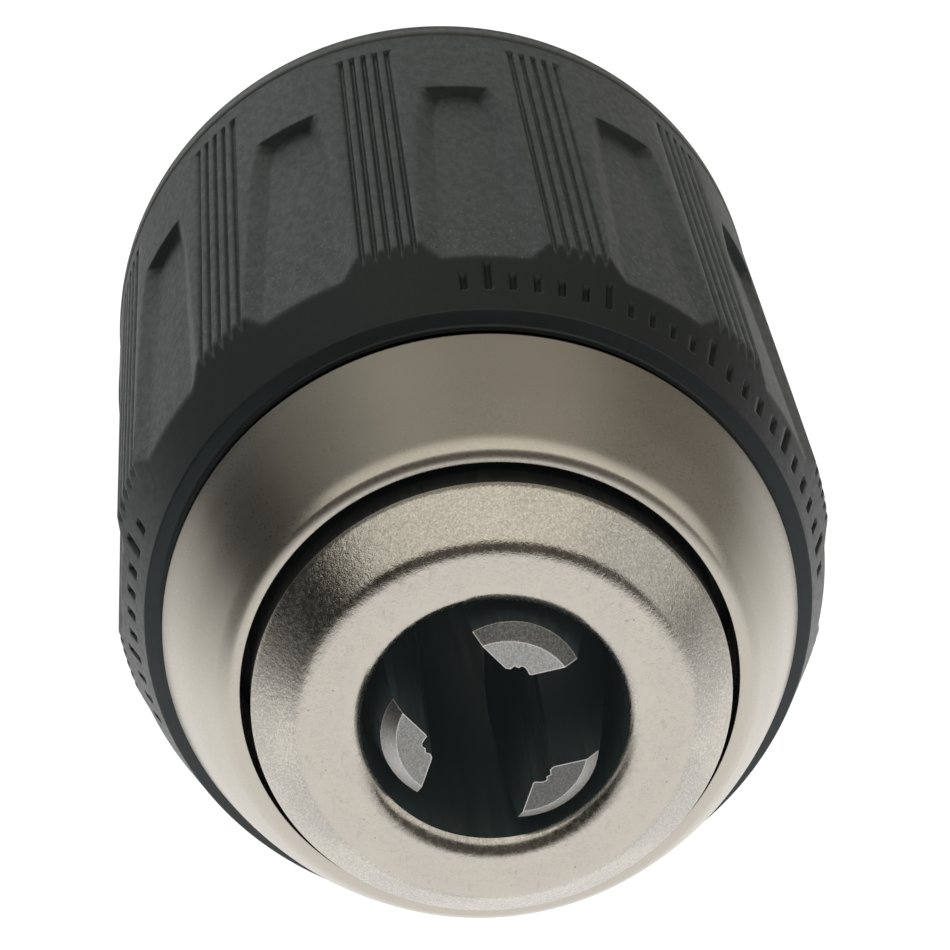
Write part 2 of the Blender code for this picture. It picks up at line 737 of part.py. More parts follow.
def groove_cutter(bench):
    """Sixty narrow slots, five along each land."""
    front = SHOULDER_Z - 3.0
    middle = 0.5 * (front + GROOVE_END_Z)
    lean = math.atan((LAND_END_RADIUS - SHOULDER_RADIUS) / (LAND_END_Z - SHOULDER_Z))
    height = 2.0
    size = Matrix.Diagonal((height * MM, GROOVE_WIDTH * MM, (GROOVE_END_Z - front) * MM, 1.0))
    radius = land_radius(middle) - GROOVE_DEPTH + 0.5 * height
    shape = bmesh.new()
    for sector_number in range(SECTORS):
        land = (sector_number + 0.5) * 360.0 / SECTORS
        for groove in range(GROOVES_PER_LAND):
            clock = land + (groove - 0.5 * (GROOVES_PER_LAND - 1)) * GROOVE_SPACING
            turn = Matrix.Rotation(math.radians(clock - QUARTER), 4, "Z")
            out = Matrix.Translation((radius * MM, 0.0, middle * MM))
            place = turn @ out @ Matrix.Rotation(lean, 4, "Y") @ size
            bmesh.ops.create_cube(shape, size=1.0, matrix=place)
    mesh = bpy.data.meshes.new("grip_grooves")
    shape.to_mesh(mesh)
    shape.free()
    return bench.place(mesh, "grip_grooves")


def panel_outline(lift):
    """A panel's outline at a height above its floor, as (radius, lateral, z)."""
    share = lift / PANEL_DEPTH
    end_z = PANEL_END_Z - PANEL_END_SLOPE * (1.0 - share)
    points = []
    for z, width_share in ((SLEEVE_FRONT - 1.0, 1.0), (end_z - PANEL_CORNER, 1.0), (end_z, 0.75)):
        run = (z - SHOULDER_Z) / (PANEL_END_Z - SHOULDER_Z)
        half_angle = slope(PANEL_FRONT_ANGLE, PANEL_REAR_ANGLE, run)
        half_angle -= PANEL_WALL_ANGLE * (1.0 - share)
        radius = land_radius(z) - PANEL_DEPTH + lift
        points.append((radius, radius * math.radians(half_angle) * width_share, z))
    mirrored = [(radius, -lateral, z) for radius, lateral, z in reversed(points)]
    return points + mirrored


def panel_cutter(bench):
    """Twelve shallow pockets with sloping sides, narrower at their bevelled rear end."""
    outlines = (panel_outline(0.0), panel_outline(PANEL_DEPTH + 0.7))
    solids = []
    for sector_number in range(SECTORS):
        angle = math.radians(sector_number * 360.0 / SECTORS - QUARTER)
        turn = Matrix.Rotation(angle, 4, "Z")
        solids.append([[turn @ (Vector(point) * MM) for point in ring] for ring in outlines])
    return lofted(bench, "grip_panels", solids)


def grip_sleeve(bench, finish):
    """The moulded sleeve: a lip and cone in front, grooved lands, pockets and a rear rim."""
    outline = [
        (20.6, SLEEVE_REAR),
        (21.2, SLEEVE_REAR - 0.3),
        (RIM_RADIUS, SLEEVE_REAR - 0.9),
        (RIM_RADIUS, LAND_END_Z + 0.5),
        (LAND_END_RADIUS - 0.2, LAND_END_Z + 0.25),
        (LAND_END_RADIUS, LAND_END_Z),
        (SHOULDER_RADIUS, SHOULDER_Z),
        (SLEEVE_LIP_RADIUS, SLEEVE_LIP_Z),
        (SLEEVE_FACE_RADIUS, SLEEVE_FRONT),
        (SLEEVE_FRONT_BORE, SLEEVE_FRONT),
        (SLEEVE_FRONT_BORE, SLEEVE_STEP),
        (SLEEVE_BORE, SLEEVE_STEP),
        (SLEEVE_BORE, SLEEVE_REAR),
    ]
    sleeve = turned(bench, "grip_sleeve", outline, 72, finish)
    boolean(sleeve, panel_cutter(bench))
    boolean(sleeve, groove_cutter(bench))
    return sleeve


def rear_cover(bench, finish):
    """The dished plate that closes the back round the boss."""
    return turned(bench, "rear_cover", COVER_OUTLINE, 40, finish)


def main():
    for item in list(bpy.data.objects):
        bpy.data.objects.remove(item)
    bench = Bench("drill_chuck")

    body_steel = material("body_steel", (0.56, 0.53, 0.48), 0.34, 1.0)
    plated = material("nickel_plate", (0.52, 0.49, 0.44), 0.3, 1.0)
    plastic = material("glass_filled_nylon", (0.045, 0.047, 0.047), 0.55, 0.0)
    zinc = material("zinc_plate", (0.42, 0.42, 0.41), 0.4, 1.0)
    ball_steel = material("ball_steel", (0.7, 0.7, 0.71), 0.12, 1.0)
    spring_steel = material("spring_steel", (0.2, 0.21, 0.24), 0.35, 1.0)

    chuck_body(bench, body_steel)
    for number, clock in enumerate(JAW_CLOCKS, start=1):
        jaw(bench, number, clock, material(f"jaw_steel_{number}", (0.34, 0.34, 0.33), 0.3, 1.0))
    halves = [material(f"nut_steel_{side}", (0.3, 0.3, 0.31), 0.4, 1.0) for side in "ab"]
    nut_halves(bench, halves)
    nut_band(bench, material("band_steel", (0.36, 0.36, 0.38), 0.35, 1.0))
    nut_race(bench, material("race_steel", (0.5, 0.5, 0.52), 0.2, 1.0))
    bearing(bench, material("cage_brass", (0.6, 0.42, 0.16), 0.35, 1.0), ball_steel)
    ratchet_race(bench, material("ratchet_steel", (0.4, 0.4, 0.42), 0.3, 1.0))
    lock_spring(bench, spring_steel)
    lock_cam(bench, material("cam_steel", (0.26, 0.27, 0.29), 0.35, 1.0))
    drive_ring(bench, material("drive_steel", (0.32, 0.32, 0.33), 0.4, 1.0))
    grip_sleeve(bench, plastic)
    front_collar(bench, plated)
    clip = material("clip_steel", (0.16, 0.16, 0.17), 0.4, 1.0)
    open_ring(
        bench, "retaining_clip", clip, inner=12.72, outer=14.6, clock=180.0, gap_angle=30.0,
        front=14.0, rear=14.9,
    )
    rear_cover(bench, zinc)
    circlip = material("circlip_steel", (0.12, 0.12, 0.13), 0.4, 1.0)
    open_ring(
        bench, "rear_circlip", circlip, inner=10.0, outer=11.8, clock=0.0, gap_angle=40.0,
        front=56.75, rear=57.4,
    )

    for piece in bench.pieces.objects:
        if piece.type == "MESH":
            bake(piece)


main()
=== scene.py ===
"""The looks of a keyless drill chuck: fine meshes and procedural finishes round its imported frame.

Lengths are in millimetres and angles in degrees.  A place on the chuck is a radius, a clock
angle (0 is up, positive to the right seen from the nose) and a depth behind the nose face.
"""

import math

import bmesh
import bpy
import numpy as np
from mathutils import Matrix, Quaternion, Vector


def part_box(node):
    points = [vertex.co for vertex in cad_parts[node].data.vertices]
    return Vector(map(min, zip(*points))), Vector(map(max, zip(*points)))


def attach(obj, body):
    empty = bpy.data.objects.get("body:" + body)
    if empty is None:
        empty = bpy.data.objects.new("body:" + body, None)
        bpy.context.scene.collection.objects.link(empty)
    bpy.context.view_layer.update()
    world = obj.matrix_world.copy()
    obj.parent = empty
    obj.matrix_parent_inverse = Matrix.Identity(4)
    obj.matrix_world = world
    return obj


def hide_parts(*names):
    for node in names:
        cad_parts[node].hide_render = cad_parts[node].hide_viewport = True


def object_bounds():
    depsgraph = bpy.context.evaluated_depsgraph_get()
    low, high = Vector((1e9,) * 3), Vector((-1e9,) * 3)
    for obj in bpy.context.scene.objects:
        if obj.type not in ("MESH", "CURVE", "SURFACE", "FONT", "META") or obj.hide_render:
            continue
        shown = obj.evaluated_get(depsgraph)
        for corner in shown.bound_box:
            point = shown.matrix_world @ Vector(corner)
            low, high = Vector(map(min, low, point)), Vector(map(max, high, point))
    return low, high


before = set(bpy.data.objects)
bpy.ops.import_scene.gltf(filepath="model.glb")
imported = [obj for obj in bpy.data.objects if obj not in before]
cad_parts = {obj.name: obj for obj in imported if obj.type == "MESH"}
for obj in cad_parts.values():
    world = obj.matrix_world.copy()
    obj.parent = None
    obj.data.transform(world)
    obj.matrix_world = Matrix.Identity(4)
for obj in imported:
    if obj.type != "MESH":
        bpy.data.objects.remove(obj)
CAD_LOW, CAD_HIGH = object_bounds()

MM = 0.001
NOSE_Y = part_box("chuck_body")[0].y
REAR_DEPTH = (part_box("chuck_body")[1].y - NOSE_Y) / MM
SLEEVE_REAR = (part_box("grip_sleeve")[1].y - NOSE_Y) / MM
RIM_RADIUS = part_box("grip_sleeve")[1].x / MM
COLLAR_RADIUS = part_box("front_collar")[1].x / MM

# Fineness of the meshes
AROUND = 288
FINE_SEGMENTS = 128
ROD_SEGMENTS = 96
SHARP_ANGLE = 24.0
WELD_DISTANCE = 0.001

# Sleeve: a lip in front, a cone up to the shoulder, then the lands and a rounded rear rim
LIP_RADIUS = 19.08
LIP_DEPTH = 12.7
LIP_ROUND = 0.1
SHOULDER_RADIUS = 21.05
SHOULDER_DEPTH = 18.6
LAND_END_RADIUS = 21.42
LAND_END_DEPTH = 55.2
LIP_SLOPE = 2.6
SLEEVE_FRONT = 12.35
SLEEVE_BORE = 18.9
SLEEVE_FRONT_BORE = 17.9
SLEEVE_STEP = 20.3
RIM_ROUND = 1.1

# Depths of the rows of the sleeve's grid, as (first, last, count), dense where the shape changes
SLEEVE_ROWS = (
    (12.43, 12.6, 4),
    (12.63, 12.82, 6),
    (13.0, 13.9, 5),
    (14.0, 16.7, 20),
    (16.8, 19.1, 22),
    (19.4, 21.0, 4),
    (23.0, 27.8, 3),
    (28.1, 28.5, 7),
    (30.0, 41.0, 5),
    (42.0, 43.2, 6),
    (43.3, 45.2, 22),
    (46.0, 52.2, 4),
    (52.5, 53.3, 10),
    (53.8, 54.9, 3),
    (55.05, 55.75, 11),
    (55.9, SLEEVE_REAR - 1.35, 2),
)

LEAST_COLUMN_GAP = 0.045

# Grip pattern: a panel in the middle of each sector, and five grooves where two sectors meet
SECTORS = 12
SECTOR = 360.0 / SECTORS
PANEL_FRONT_DEPTH = 0.52
PANEL_REAR_DEPTH = 0.68
PANEL_FRONT_ANGLE = 10.0
PANEL_REAR_ANGLE = 6.9
PANEL_WALL_ANGLE = 2.9
PANEL_END_DEPTH = 44.9
PANEL_END_FLOOR = 44.4
PANEL_END_BOW = 0.4
LAND_EDGE_ANGLE = 10.45
GROOVES_PER_HALF = 3
GROOVE_SPACING = 2.05
GROOVE_HALF_FLOOR = 0.05
GROOVE_HALF_TOP = 0.23
GROOVE_DEPTH = 0.27
GROOVE_END_DEPTH = 52.9
EDGE_ROUND = 0.12
RIM_LINE_SINK = 0.03
RIM_LINE_HALF_WIDTH = 0.1

# A faint moulding line across the top panel
WITNESS_DEPTH = 28.3
WITNESS_CLOCK = -3.2
WITNESS_HALF_ANGLE = 2.9
WITNESS_HALF_WIDTH = 0.09
WITNESS_SINK = 0.08

# Marks on the sleeve's cone; every fifth is long
TICK_CLOCKS = (*range(-4, 88, 4), *range(-112, -72, 4))
TICK_HALF_WIDTH = 0.17
TICK_SINK = 0.22
TICK_FRONT = 14.4
TICK_LENGTHS = (1.2, 2.1)
LONG_TICK_STEP = 20

# Front collar as corners of (radius, depth, setback): from the skirt over the cone, round the
# rolled rim, which is the radius, depth, bend and tilt of a fillet, and back inside
COLLAR_CONE = [
    (17.6, 19.4, 0.2),
    (17.6, 12.1, 0.2),
    (COLLAR_RADIUS, 11.6, 0.15),
    (17.47, 9.8, 0.9),
    (16.53, 7.6, 0.9),
    (15.53, 5.8, 0.5),
    (14.95, 4.78, 0.4),
]
COLLAR_RIM = (13.85, 4.0, 1.0, 40.0)
COLLAR_BACK = [
    (13.72, 4.0, 0.08),
    (13.72, 5.6, 0.3),
    (15.4, 8.4, 0.5),
    (16.6, 11.2, 0.5),
    (16.6, 15.2, 0.2),
    (13.5, 15.2, 0.1),
    (13.5, 16.4, 0.1),
    (16.6, 16.4, 0.2),
    (16.6, 19.4, 0.2),
]

# Rear cover's corners, and the circlip's two radii, its mouth's clock and angle, and two depths
COVER_CORNERS = [
    (18.5, 56.6, 0.2),
    (18.5, 55.6, 0.15),
    (15.6, 55.6, 0.3),
    (14.8, 54.9, 0.3),
    (10.7, 54.9, 0.1),
    (10.7, 56.1, 0.2),
    (14.3, 56.1, 0.35),
    (15.1, 56.6, 0.35),
]
CIRCLIP = (10.0, 11.8, 0.0, 40.0, 56.75, 57.4)
CIRCLIP_LUG = 0.9
CIRCLIP_EDGE = 0.06
CIRCLIP_SHARP_ANGLE = 30.0
EYE_RADIUS = 0.45
EYE_ANGLE = 3.6
LUG_ANGLES = (5.0, 11.0)

# Body, jaws and socket
BODY_OUTSIDE = [
    (9.9, REAR_DEPTH, 0.12),
    (10.4, REAR_DEPTH - 0.5, 0.12),
    (10.4, 57.7, 0.05),
    (9.7, 57.7, 0.1),
    (9.7, 56.4, 0.1),
    (10.4, 56.4, 0.05),
    (10.4, 37.6, 0.3),
    (17.0, 37.6, 0.1),
    (17.6, 37.0, 0.1),
    (17.6, 34.2, 0.1),
    (12.6, 34.2, 0.2),
    (12.6, 28.0, 0.1),
    (10.1, 28.0, 0.3),
    (10.1, 19.6, 0.3),
    (13.17, 19.6, 0.1),
    (13.17, 15.2, 0.05),
    (12.42, 15.2, 0.1),
    (12.42, 13.7, 0.1),
    (13.17, 13.7, 0.05),
]
HOLE_RADIUS = 7.25
HOLE_EDGE_RADIUS = 8.4
HOLE_FILLET = 1.4
NOSE_FLAT_RADIUS = 10.05
NOSE_FILLET = 1.45
NOSE_TILT = 46.4
NOSE_CONE_RADIUS = 13.06
NOSE_RADIUS = 13.17
FLAT_MARGIN = 0.12
NOSE_PAINT_DEPTH = 2.9
BORE_PAINT_DEPTH = 0.62
REAR_PAINT_DEPTH = 30.0
TIP_PAINT_DEPTH = 1.2
JAW_CLOCKS = (16.0, 136.0, 256.0)
# Painted light and shade: each jaw's tip face is painted brighter or darker by its factor.
JAW_FACE_PAINTED_LIGHT = (1.25, 0.55, 1.0)
JAW_TILT = 14.0
JAW_RADIUS = 4.25
JAW_LENGTH = 41.0
JAW_TIP_DEPTH = -0.6
JAW_AXIS_AT_NOSE = 1.85
JAW_GRIP_RADIUS = 3.73
JAW_GRIP_WIDTH = 1.45
JAW_FACE_HALF_ANGLE = 60.0
JAW_BEVEL = 0.62
JAW_NOTCH = [
    (0.03, -0.46),
    (0.27, -0.3),
    (0.21, -0.06),
    (0.37, 0.08),
    (0.31, 0.3),
    (0.12, 0.5),
    (0.0, 0.6),
]
JAW_BORE_RADIUS = 4.4
JAW_OPENING_STROKE = 11.45
JAW_SWING_RADIUS = 18.3
TOOTH_PITCH = 1.8
TOOTH_START = 0.4
FIRST_TOOTH_AT = 9.0
TOOTH_WIDTH = 0.5
TOOTH_DEPTH = 1.25
TOOTH_CLEARANCE = 0.3
FLANK_SLOPE = 0.31

# How far the cutters run, each along its own axis and past what it cuts
BORE_SPAN = (-30.0, 80.0)
BEVEL_REACH = 60.0
GRIP_REACH = 8.0
GRIP_BACK = -9.0
GRIP_FRONT = -6.0
TOOTH_SPAN = (-5.5, 5.5)
SWING_SPAN = (-40.0, 90.0)

BIT_BORE_DEPTH = 36.5
THROUGH_RADIUS = 3.4
SOCKET_RADIUS = 6.35
SOCKET_FLOOR = 41.0
SOCKET_CHAMFER = 0.6

# The socket's thread: a ridge's section as (reach from the wall, depth), inward is negative
THREAD_PITCH = 1.27
THREAD_STEPS = 72
THREAD_FADE_STEPS = 14.0
THREAD_SECTION = np.array(((0.12, 0.56), (-0.55, 0.12), (-0.62, 0.0), (-0.55, -0.12), (0.12, -0.56)))
THREAD_SHARP_ANGLE = 35.0

BALL_COUNT = 12

# Studio: glows in the light tent as (axis, inner angle, outer angle, colour, strength)
GLOWS = (
    ((-0.22, 1.0, 0.14), 4.0, 42.0, (0.95, 0.99, 1.0), 0.62),
    ((0.9, -0.25, 0.4), 12.0, 24.0, (1.0, 0.98, 0.92), 0.8),
    ((0.0, 0.35, 1.0), 18.0, 46.0, (1.0, 0.95, 0.8), 0.2),
    ((0.7, 0.45, 0.6), 20.0, 60.0, (1.0, 0.95, 0.85), 0.08),
    ((-0.55, 0.35, 0.75), 10.0, 34.0, (1.0, 0.97, 0.9), 0.17),
    ((-0.45, 0.89, -0.02), 4.0, 26.0, (0.97, 0.99, 1.0), 0.35),
    ((0.5, 0.86, 0.02), 4.0, 26.0, (0.97, 0.99, 1.0), 0.15),
)
FLOOR_SIZE = 4000.0
FLOOR_GAP = 0.05
FLOOR_BRIGHT = 1.03
CAMERA_LENS = 134.2
CAMERA_PLACE = (-15.1, -167.4, 90.6)
CAMERA_AIM = (0.0733, 0.9085, -0.4113)
CAMERA_ROLL = 1.9


def at(radius, clock, depth):
    """World points in metres for arrays or numbers of radius, clock angle and depth."""
    angle = np.radians(clock)
    parts = (radius * np.sin(angle), depth + NOSE_Y / MM, radius * np.cos(angle))
    return np.stack(np.broadcast_arrays(*parts), axis=-1) * MM


def new_object(mesh, name, finishes):
    """A smooth-shaded object with its materials."""
    item = bpy.data.objects.new(name, mesh)
    bpy.context.scene.collection.objects.link(item)
    for finish in finishes:
        mesh.materials.append(finish)
    mesh.shade_smooth()
    return item


def outward(mesh):
    """Face every polygon of a closed mesh outward."""
    shape = bmesh.new()
    shape.from_mesh(mesh)
    bmesh.ops.recalc_face_normals(shape, faces=shape.faces)
    shape.to_mesh(mesh)
    shape.free()


def wrapped_grid(name, points, finishes):
    """A closed skin over a grid of points that wraps both ways."""
    rows, columns = points.shape[:2]
    here = np.arange(rows * columns).reshape(rows, columns)
    beside = np.roll(here, -1, axis=1)
    quads = np.stack([here, beside, np.roll(beside, -1, axis=0), np.roll(here, -1, axis=0)], axis=-1)
    mesh = bpy.data.meshes.new(name)
    mesh.from_pydata(points.reshape(-1, 3).tolist(), [], quads.reshape(-1, 4).tolist())
    outward(mesh)
    return new_object(mesh, name, finishes)


def rounded(corners, steps=5):
    """Outline points from corners (radius, depth, setback), each rounded over its setback."""
    points = []
    for index, (radius, depth, setback) in enumerate(corners):
        corner = np.array((radius, depth))
        if not setback:
            points.append(corner)
            continue
        before = np.array(corners[index - 1][:2]) - corner
        after = np.array(corners[(index + 1) % len(corners)][:2]) - corner
        lengths = np.linalg.norm(before), np.linalg.norm(after)
        reach = min(setback, 0.42 * min(lengths))
        start = corner + before / lengths[0] * reach
        end = corner + after / lengths[1] * reach
        points.append(corner + before / lengths[0] * reach * 1.15)
        for step in range(steps + 1):
            share = step / steps
            toward = start + (corner - start) * share
            away = corner + (end - corner) * share
            points.append(toward + (away - toward) * share)
        points.append(corner + after / lengths[1] * reach * 1.15)
    return np.array(points)


def fillet(radius, depth, bend, tilt, steps=10):
    """Corners from a flat face's edge round a bend; a negative bend turns inward."""
    corners = []
    for step in range(steps + 1):
        angle = math.radians(tilt * step / steps)
        corner = (radius + bend * math.sin(angle), depth + abs(bend) * (1.0 - math.cos(angle)), 0.0)
        corners.append(corner)
    return corners


def turned(name, corners, finishes):
    """A piece turned about the chuck's axis from rounded corners."""
    outline = rounded(corners)
    clocks = np.arange(AROUND) * 360.0 / AROUND
    points = at(outline[:, :1], clocks[None, :], outline[:, 1:])
    return wrapped_grid(name, points, finishes)


def rides(item, body, slot, *nodes):
    """Put a piece on its body and hide the CAD nodes it stands for. The slot is not used."""
    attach(item, body)
    if nodes:
        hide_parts(*nodes)
    return item


# ---------------------------------------------------------------- materials


class Graph:
    """Short calls that add nodes to a node tree."""

    def __init__(self, tree):
        self.tree = tree

    def node(self, kind, inputs=(), **settings):
        """A node with its settings, and inputs by position or name that are sockets or values."""
        made = self.tree.nodes.new(kind)
        for key, value in settings.items():
            setattr(made, key, value)
        for index, value in dict(inputs).items():
            self.feed(made.inputs[index], value)
        return made

    def feed(self, socket, value):
        if isinstance(value, bpy.types.NodeSocket):
            self.tree.links.new(value, socket)
        else:
            socket.default_value = value

    def span(self, value, low, high, out_low=0.0, out_high=1.0, smooth=True):
        """A value's range mapped onto another."""
        inputs = {0: value, 1: low, 2: high, 3: out_low, 4: out_high}
        kind = "SMOOTHSTEP" if smooth else "LINEAR"
        return self.node("ShaderNodeMapRange", inputs, interpolation_type=kind).outputs[0]

    def math(self, operation, first, second=0.0):
        return self.node("ShaderNodeMath", {0: first, 1: second}, operation=operation).outputs[0]

    def dot(self, first, second):
        made = self.node("ShaderNodeVectorMath", {0: first, 1: second}, operation="DOT_PRODUCT")
        return made.outputs["Value"]

    def mix(self, share, first, second, blend="MIX"):
        """A colour between two, or two combined."""
        made = self.node("ShaderNodeMix", {0: share}, data_type="RGBA", blend_type=blend)
        for index, value in ((6, first), (7, second)):
            if isinstance(value, tuple):
                value = (*value, 1.0)
            self.feed(made.inputs[index], value)
        return made.outputs[2]

    def blend(self, share, first, second):
        """A number between two."""
        return self.node("ShaderNodeMix", {0: share, 2: first, 3: second}).outputs[0]


class Finish(Graph):
    """A Principled material, built node by node in millimetres of the piece's own space.

    Its first colour and roughness are the plain ones, for what doesn't read the nodes.
    """

    def __init__(self, name, colour, roughness, metallic=0.0):
        self.material = bpy.data.materials.new(name)
        self.material.use_nodes = True
        super().__init__(self.material.node_tree)
        self.shader = self.tree.nodes["Principled BSDF"]
        self.set("Base Color", (*colour, 1.0))
        self.set("Roughness", roughness)
        self.set("Metallic", metallic)
        coordinates = self.node("ShaderNodeTexCoord").outputs["Object"]
        inputs = {0: coordinates, "Scale": 1.0 / MM}
        self.space = self.node("ShaderNodeVectorMath", inputs, operation="SCALE").outputs[0]
        self.normal = None

    def set(self, name, value):
        self.feed(self.shader.inputs[name], value)

    def stretched(self, x, y, z):
        """The piece's space with its axes scaled."""
        inputs = {0: self.space, 1: (x, y, z)}
        return self.node("ShaderNodeVectorMath", inputs, operation="MULTIPLY").outputs[0]

    def noise(self, size, detail=2.0, rough=0.5, space=None):
        """Noise whose lumps are about this many millimetres."""
        inputs = {"Vector": space or self.space, "Scale": 1.0 / size}
        inputs.update({"Detail": detail, "Roughness": rough})
        return self.node("ShaderNodeTexNoise", inputs).outputs["Fac"]

    def attribute(self, name):
        return self.node("ShaderNodeAttribute", attribute_name=name).outputs["Fac"]

    def axis_parts(self):
        """Radius and depth-wise coordinate of the shaded point, in millimetres."""
        parts = self.node("ShaderNodeSeparateXYZ", {0: self.space})
        flat = self.node("ShaderNodeCombineXYZ", {0: parts.outputs[0], 2: parts.outputs[2]})
        length = self.node("ShaderNodeVectorMath", {0: flat.outputs[0]}, operation="LENGTH")
        return length.outputs["Value"], parts.outputs[1]

    def bump(self, height, depth):
        """Relief of a 0 to 1 height, this many millimetres deep."""
        made = self.node("ShaderNodeBump", {"Height": height, "Strength": 1.0, "Distance": depth * MM})
        if self.normal is not None:
            self.feed(made.inputs["Normal"], self.normal)
        self.normal = made.outputs["Normal"]
        self.set("Normal", self.normal)

    def facing(self, axis, low, high):
        """A mask of the faces turned towards an axis, by the cosine of their angle to it."""
        true_normal = self.node("ShaderNodeNewGeometry").outputs["True Normal"]
        return self.span(self.dot(true_normal, axis), low, high)

    def edges(self, radius, low, high):
        """A mask of the piece's edges, from how far rounding them would turn the surface."""
        rounded_normal = self.node("ShaderNodeBevel", {"Radius": radius * MM}, samples=6).outputs[0]
        true_normal = self.node("ShaderNodeNewGeometry").outputs["True Normal"]
        return self.span(self.math("SUBTRACT", 1.0, self.dot(rounded_normal, true_normal)), low, high)

    def soften(self, radius):
        """Light the piece's edges as if they were rounded."""
        self.normal = self.node("ShaderNodeBevel", {"Radius": radius * MM}, samples=6).outputs[0]
        self.set("Normal", self.normal)


def satin_nickel():
    """Nickel plate over a blasted surface: soft, warm and nearly even."""
    finish = Finish("satin_nickel", (0.6, 0.57, 0.51), 0.3, 1.0)
    grain = finish.noise(0.16, 3.0)
    cloud = finish.noise(5.0, 2.0)
    finish.set("Base Color", finish.mix(cloud, (0.5, 0.475, 0.425), (0.53, 0.5, 0.445)))
    finish.set("Roughness", finish.span(grain, 0.3, 0.7, 0.27, 0.34))
    return finish.material


def blasted_steel():
    """Bead-blasted and plated steel: dimpled, mottled and lightly scuffed, with painted glints on the
    chamfer.
    """
    finish = Finish("blasted_steel", (0.52, 0.495, 0.445), 0.24, 1.0)
    dimple = finish.noise(0.3, 4.0, 0.66)
    grain = finish.noise(0.12, 2.0, 0.6)
    cloud = finish.noise(2.2, 3.0)
    pit = finish.span(finish.noise(0.28, 1.0), 0.74, 0.82)
    scuff = finish.span(finish.noise(0.4, 3.0, 0.7, finish.stretched(1.0, 1.0, 0.3)), 0.58, 0.76)
    tone = finish.mix(cloud, (0.49, 0.465, 0.42), (0.54, 0.51, 0.46))
    tone = finish.mix(scuff, tone, (0.43, 0.405, 0.36))
    patch = finish.span(finish.noise(5.0, 2.0), 0.42, 0.66)
    sloping = finish.facing((0.0, -1.0, 0.0), 0.95, 0.8)
    # Painted glints: bright specks in the colour of the chamfer and fillet stand in for light glinting
    # off the blasted surface.
    painted_glint = finish.math("MULTIPLY", sloping, finish.span(grain, 0.5, 0.7, 0.0, 0.45))
    dull = finish.math("MULTIPLY", sloping, finish.span(grain, 0.5, 0.32, 0.0, 0.42))
    tone = finish.mix(finish.math("MULTIPLY", sloping, patch), tone, (0.43, 0.415, 0.385))
    tone = finish.mix(painted_glint, tone, (0.8, 0.78, 0.73))
    tone = finish.mix(dull, tone, (0.3, 0.285, 0.255))
    finish.set("Base Color", finish.mix(pit, tone, (0.28, 0.26, 0.23)))
    finish.set("Roughness", finish.span(dimple, 0.3, 0.7, 0.14, 0.3))
    fade = finish.span(finish.axis_parts()[0], 7.4, 9.2, 0.08, 1.0, smooth=False)
    finish.bump(finish.math("MULTIPLY", dimple, fade), 0.026)
    finish.bump(finish.math("MULTIPLY", grain, fade), 0.011)
    return finish.material


def black_oxide():
    """Blacked steel inside the bore and on the jaws, with drawn streaks along it and a faint painted
    glow.
    """
    finish = Finish("black_oxide", (0.02, 0.024, 0.025), 0.38, 0.0)
    streak = finish.noise(0.35, 3.0, 0.6, finish.stretched(1.0, 0.04, 1.0))
    tone = finish.mix(finish.span(streak, 0.3, 0.7), (0.03, 0.041, 0.043), (0.05, 0.066, 0.069))
    outside = finish.span(finish.axis_parts()[0], 9.0, 12.0)
    finish.set("Base Color", finish.mix(outside, tone, (0.012, 0.013, 0.012)))
    finish.set("Roughness", finish.span(streak, 0.3, 0.7, 0.32, 0.5))
    # Painted glow: a faint emission, stronger inside the bore than outside, lightens the dark bore and
    # jaws as glare would.
    finish.set("Emission Color", (0.75, 1.0, 1.0, 1.0))
    finish.set("Emission Strength", finish.span(outside, 0.0, 1.0, 0.006, 0.002))
    finish.bump(streak, 0.005)
    return finish.material


def ground_tip(name, bright):
    """Ground steel of a jaw's tip: mottled end face painted brighter or darker per jaw, a bevel
    painted darker above and brighter below, and edges painted pale as highlights.
    """
    finish = Finish(name, (0.24, 0.24, 0.23), 0.42, 1.0)
    scratch = finish.noise(0.09, 2.0, 0.6, finish.stretched(1.0, 1.0, 0.25))
    blotch = finish.span(finish.noise(0.13, 4.0, 0.75), 0.32, 0.68)
    # Painted light and shade: bright scales this jaw's face colour up or down.
    dark = tuple(bright * part for part in (0.2, 0.203, 0.2))
    pale = tuple(bright * part for part in (0.34, 0.34, 0.335))
    face = finish.mix(blotch, dark, pale)
    bevel = finish.facing((0.0, -1.0, 0.0), 0.97, 0.85)
    # Painted light and shade: the bevel is painted dark where it faces up and bright where it faces
    # down.
    lower = finish.facing((0.0, 0.0, 1.0), 0.3, -0.4)
    bevel_painted_shading = finish.mix(lower, (0.11, 0.11, 0.105), (0.66, 0.655, 0.64))
    tone = finish.mix(bevel, face, finish.mix(finish.span(blotch, 0.0, 1.0, 0.0, 0.35), bevel_painted_shading, face))
    # Painted highlight: the tip's edges are painted pale as if catching light.
    finish.set("Base Color", finish.mix(finish.edges(0.12, 0.004, 0.05), tone, (0.7, 0.69, 0.67)))
    finish.set("Roughness", finish.span(scratch, 0.3, 0.7, 0.36, 0.55))
    finish.bump(scratch, 0.008)
    return finish.material


def turned_steel():
    """Plain turned steel with fine tool marks round the axis."""
    finish = Finish("turned_steel", (0.5, 0.49, 0.47), 0.3, 1.0)
    radius, depth = finish.axis_parts()
    lines = finish.node("ShaderNodeCombineXYZ", {0: radius, 1: depth}).outputs[0]
    marks = finish.noise(0.09, 2.0, 0.5, lines)
    cloud = finish.noise(3.0, 3.0)
    finish.set("Base Color", finish.mix(cloud, (0.44, 0.43, 0.41), (0.54, 0.53, 0.51)))
    finish.set("Roughness", finish.span(marks, 0.3, 0.7, 0.22, 0.4))
    finish.bump(marks, 0.006)
    return finish.material


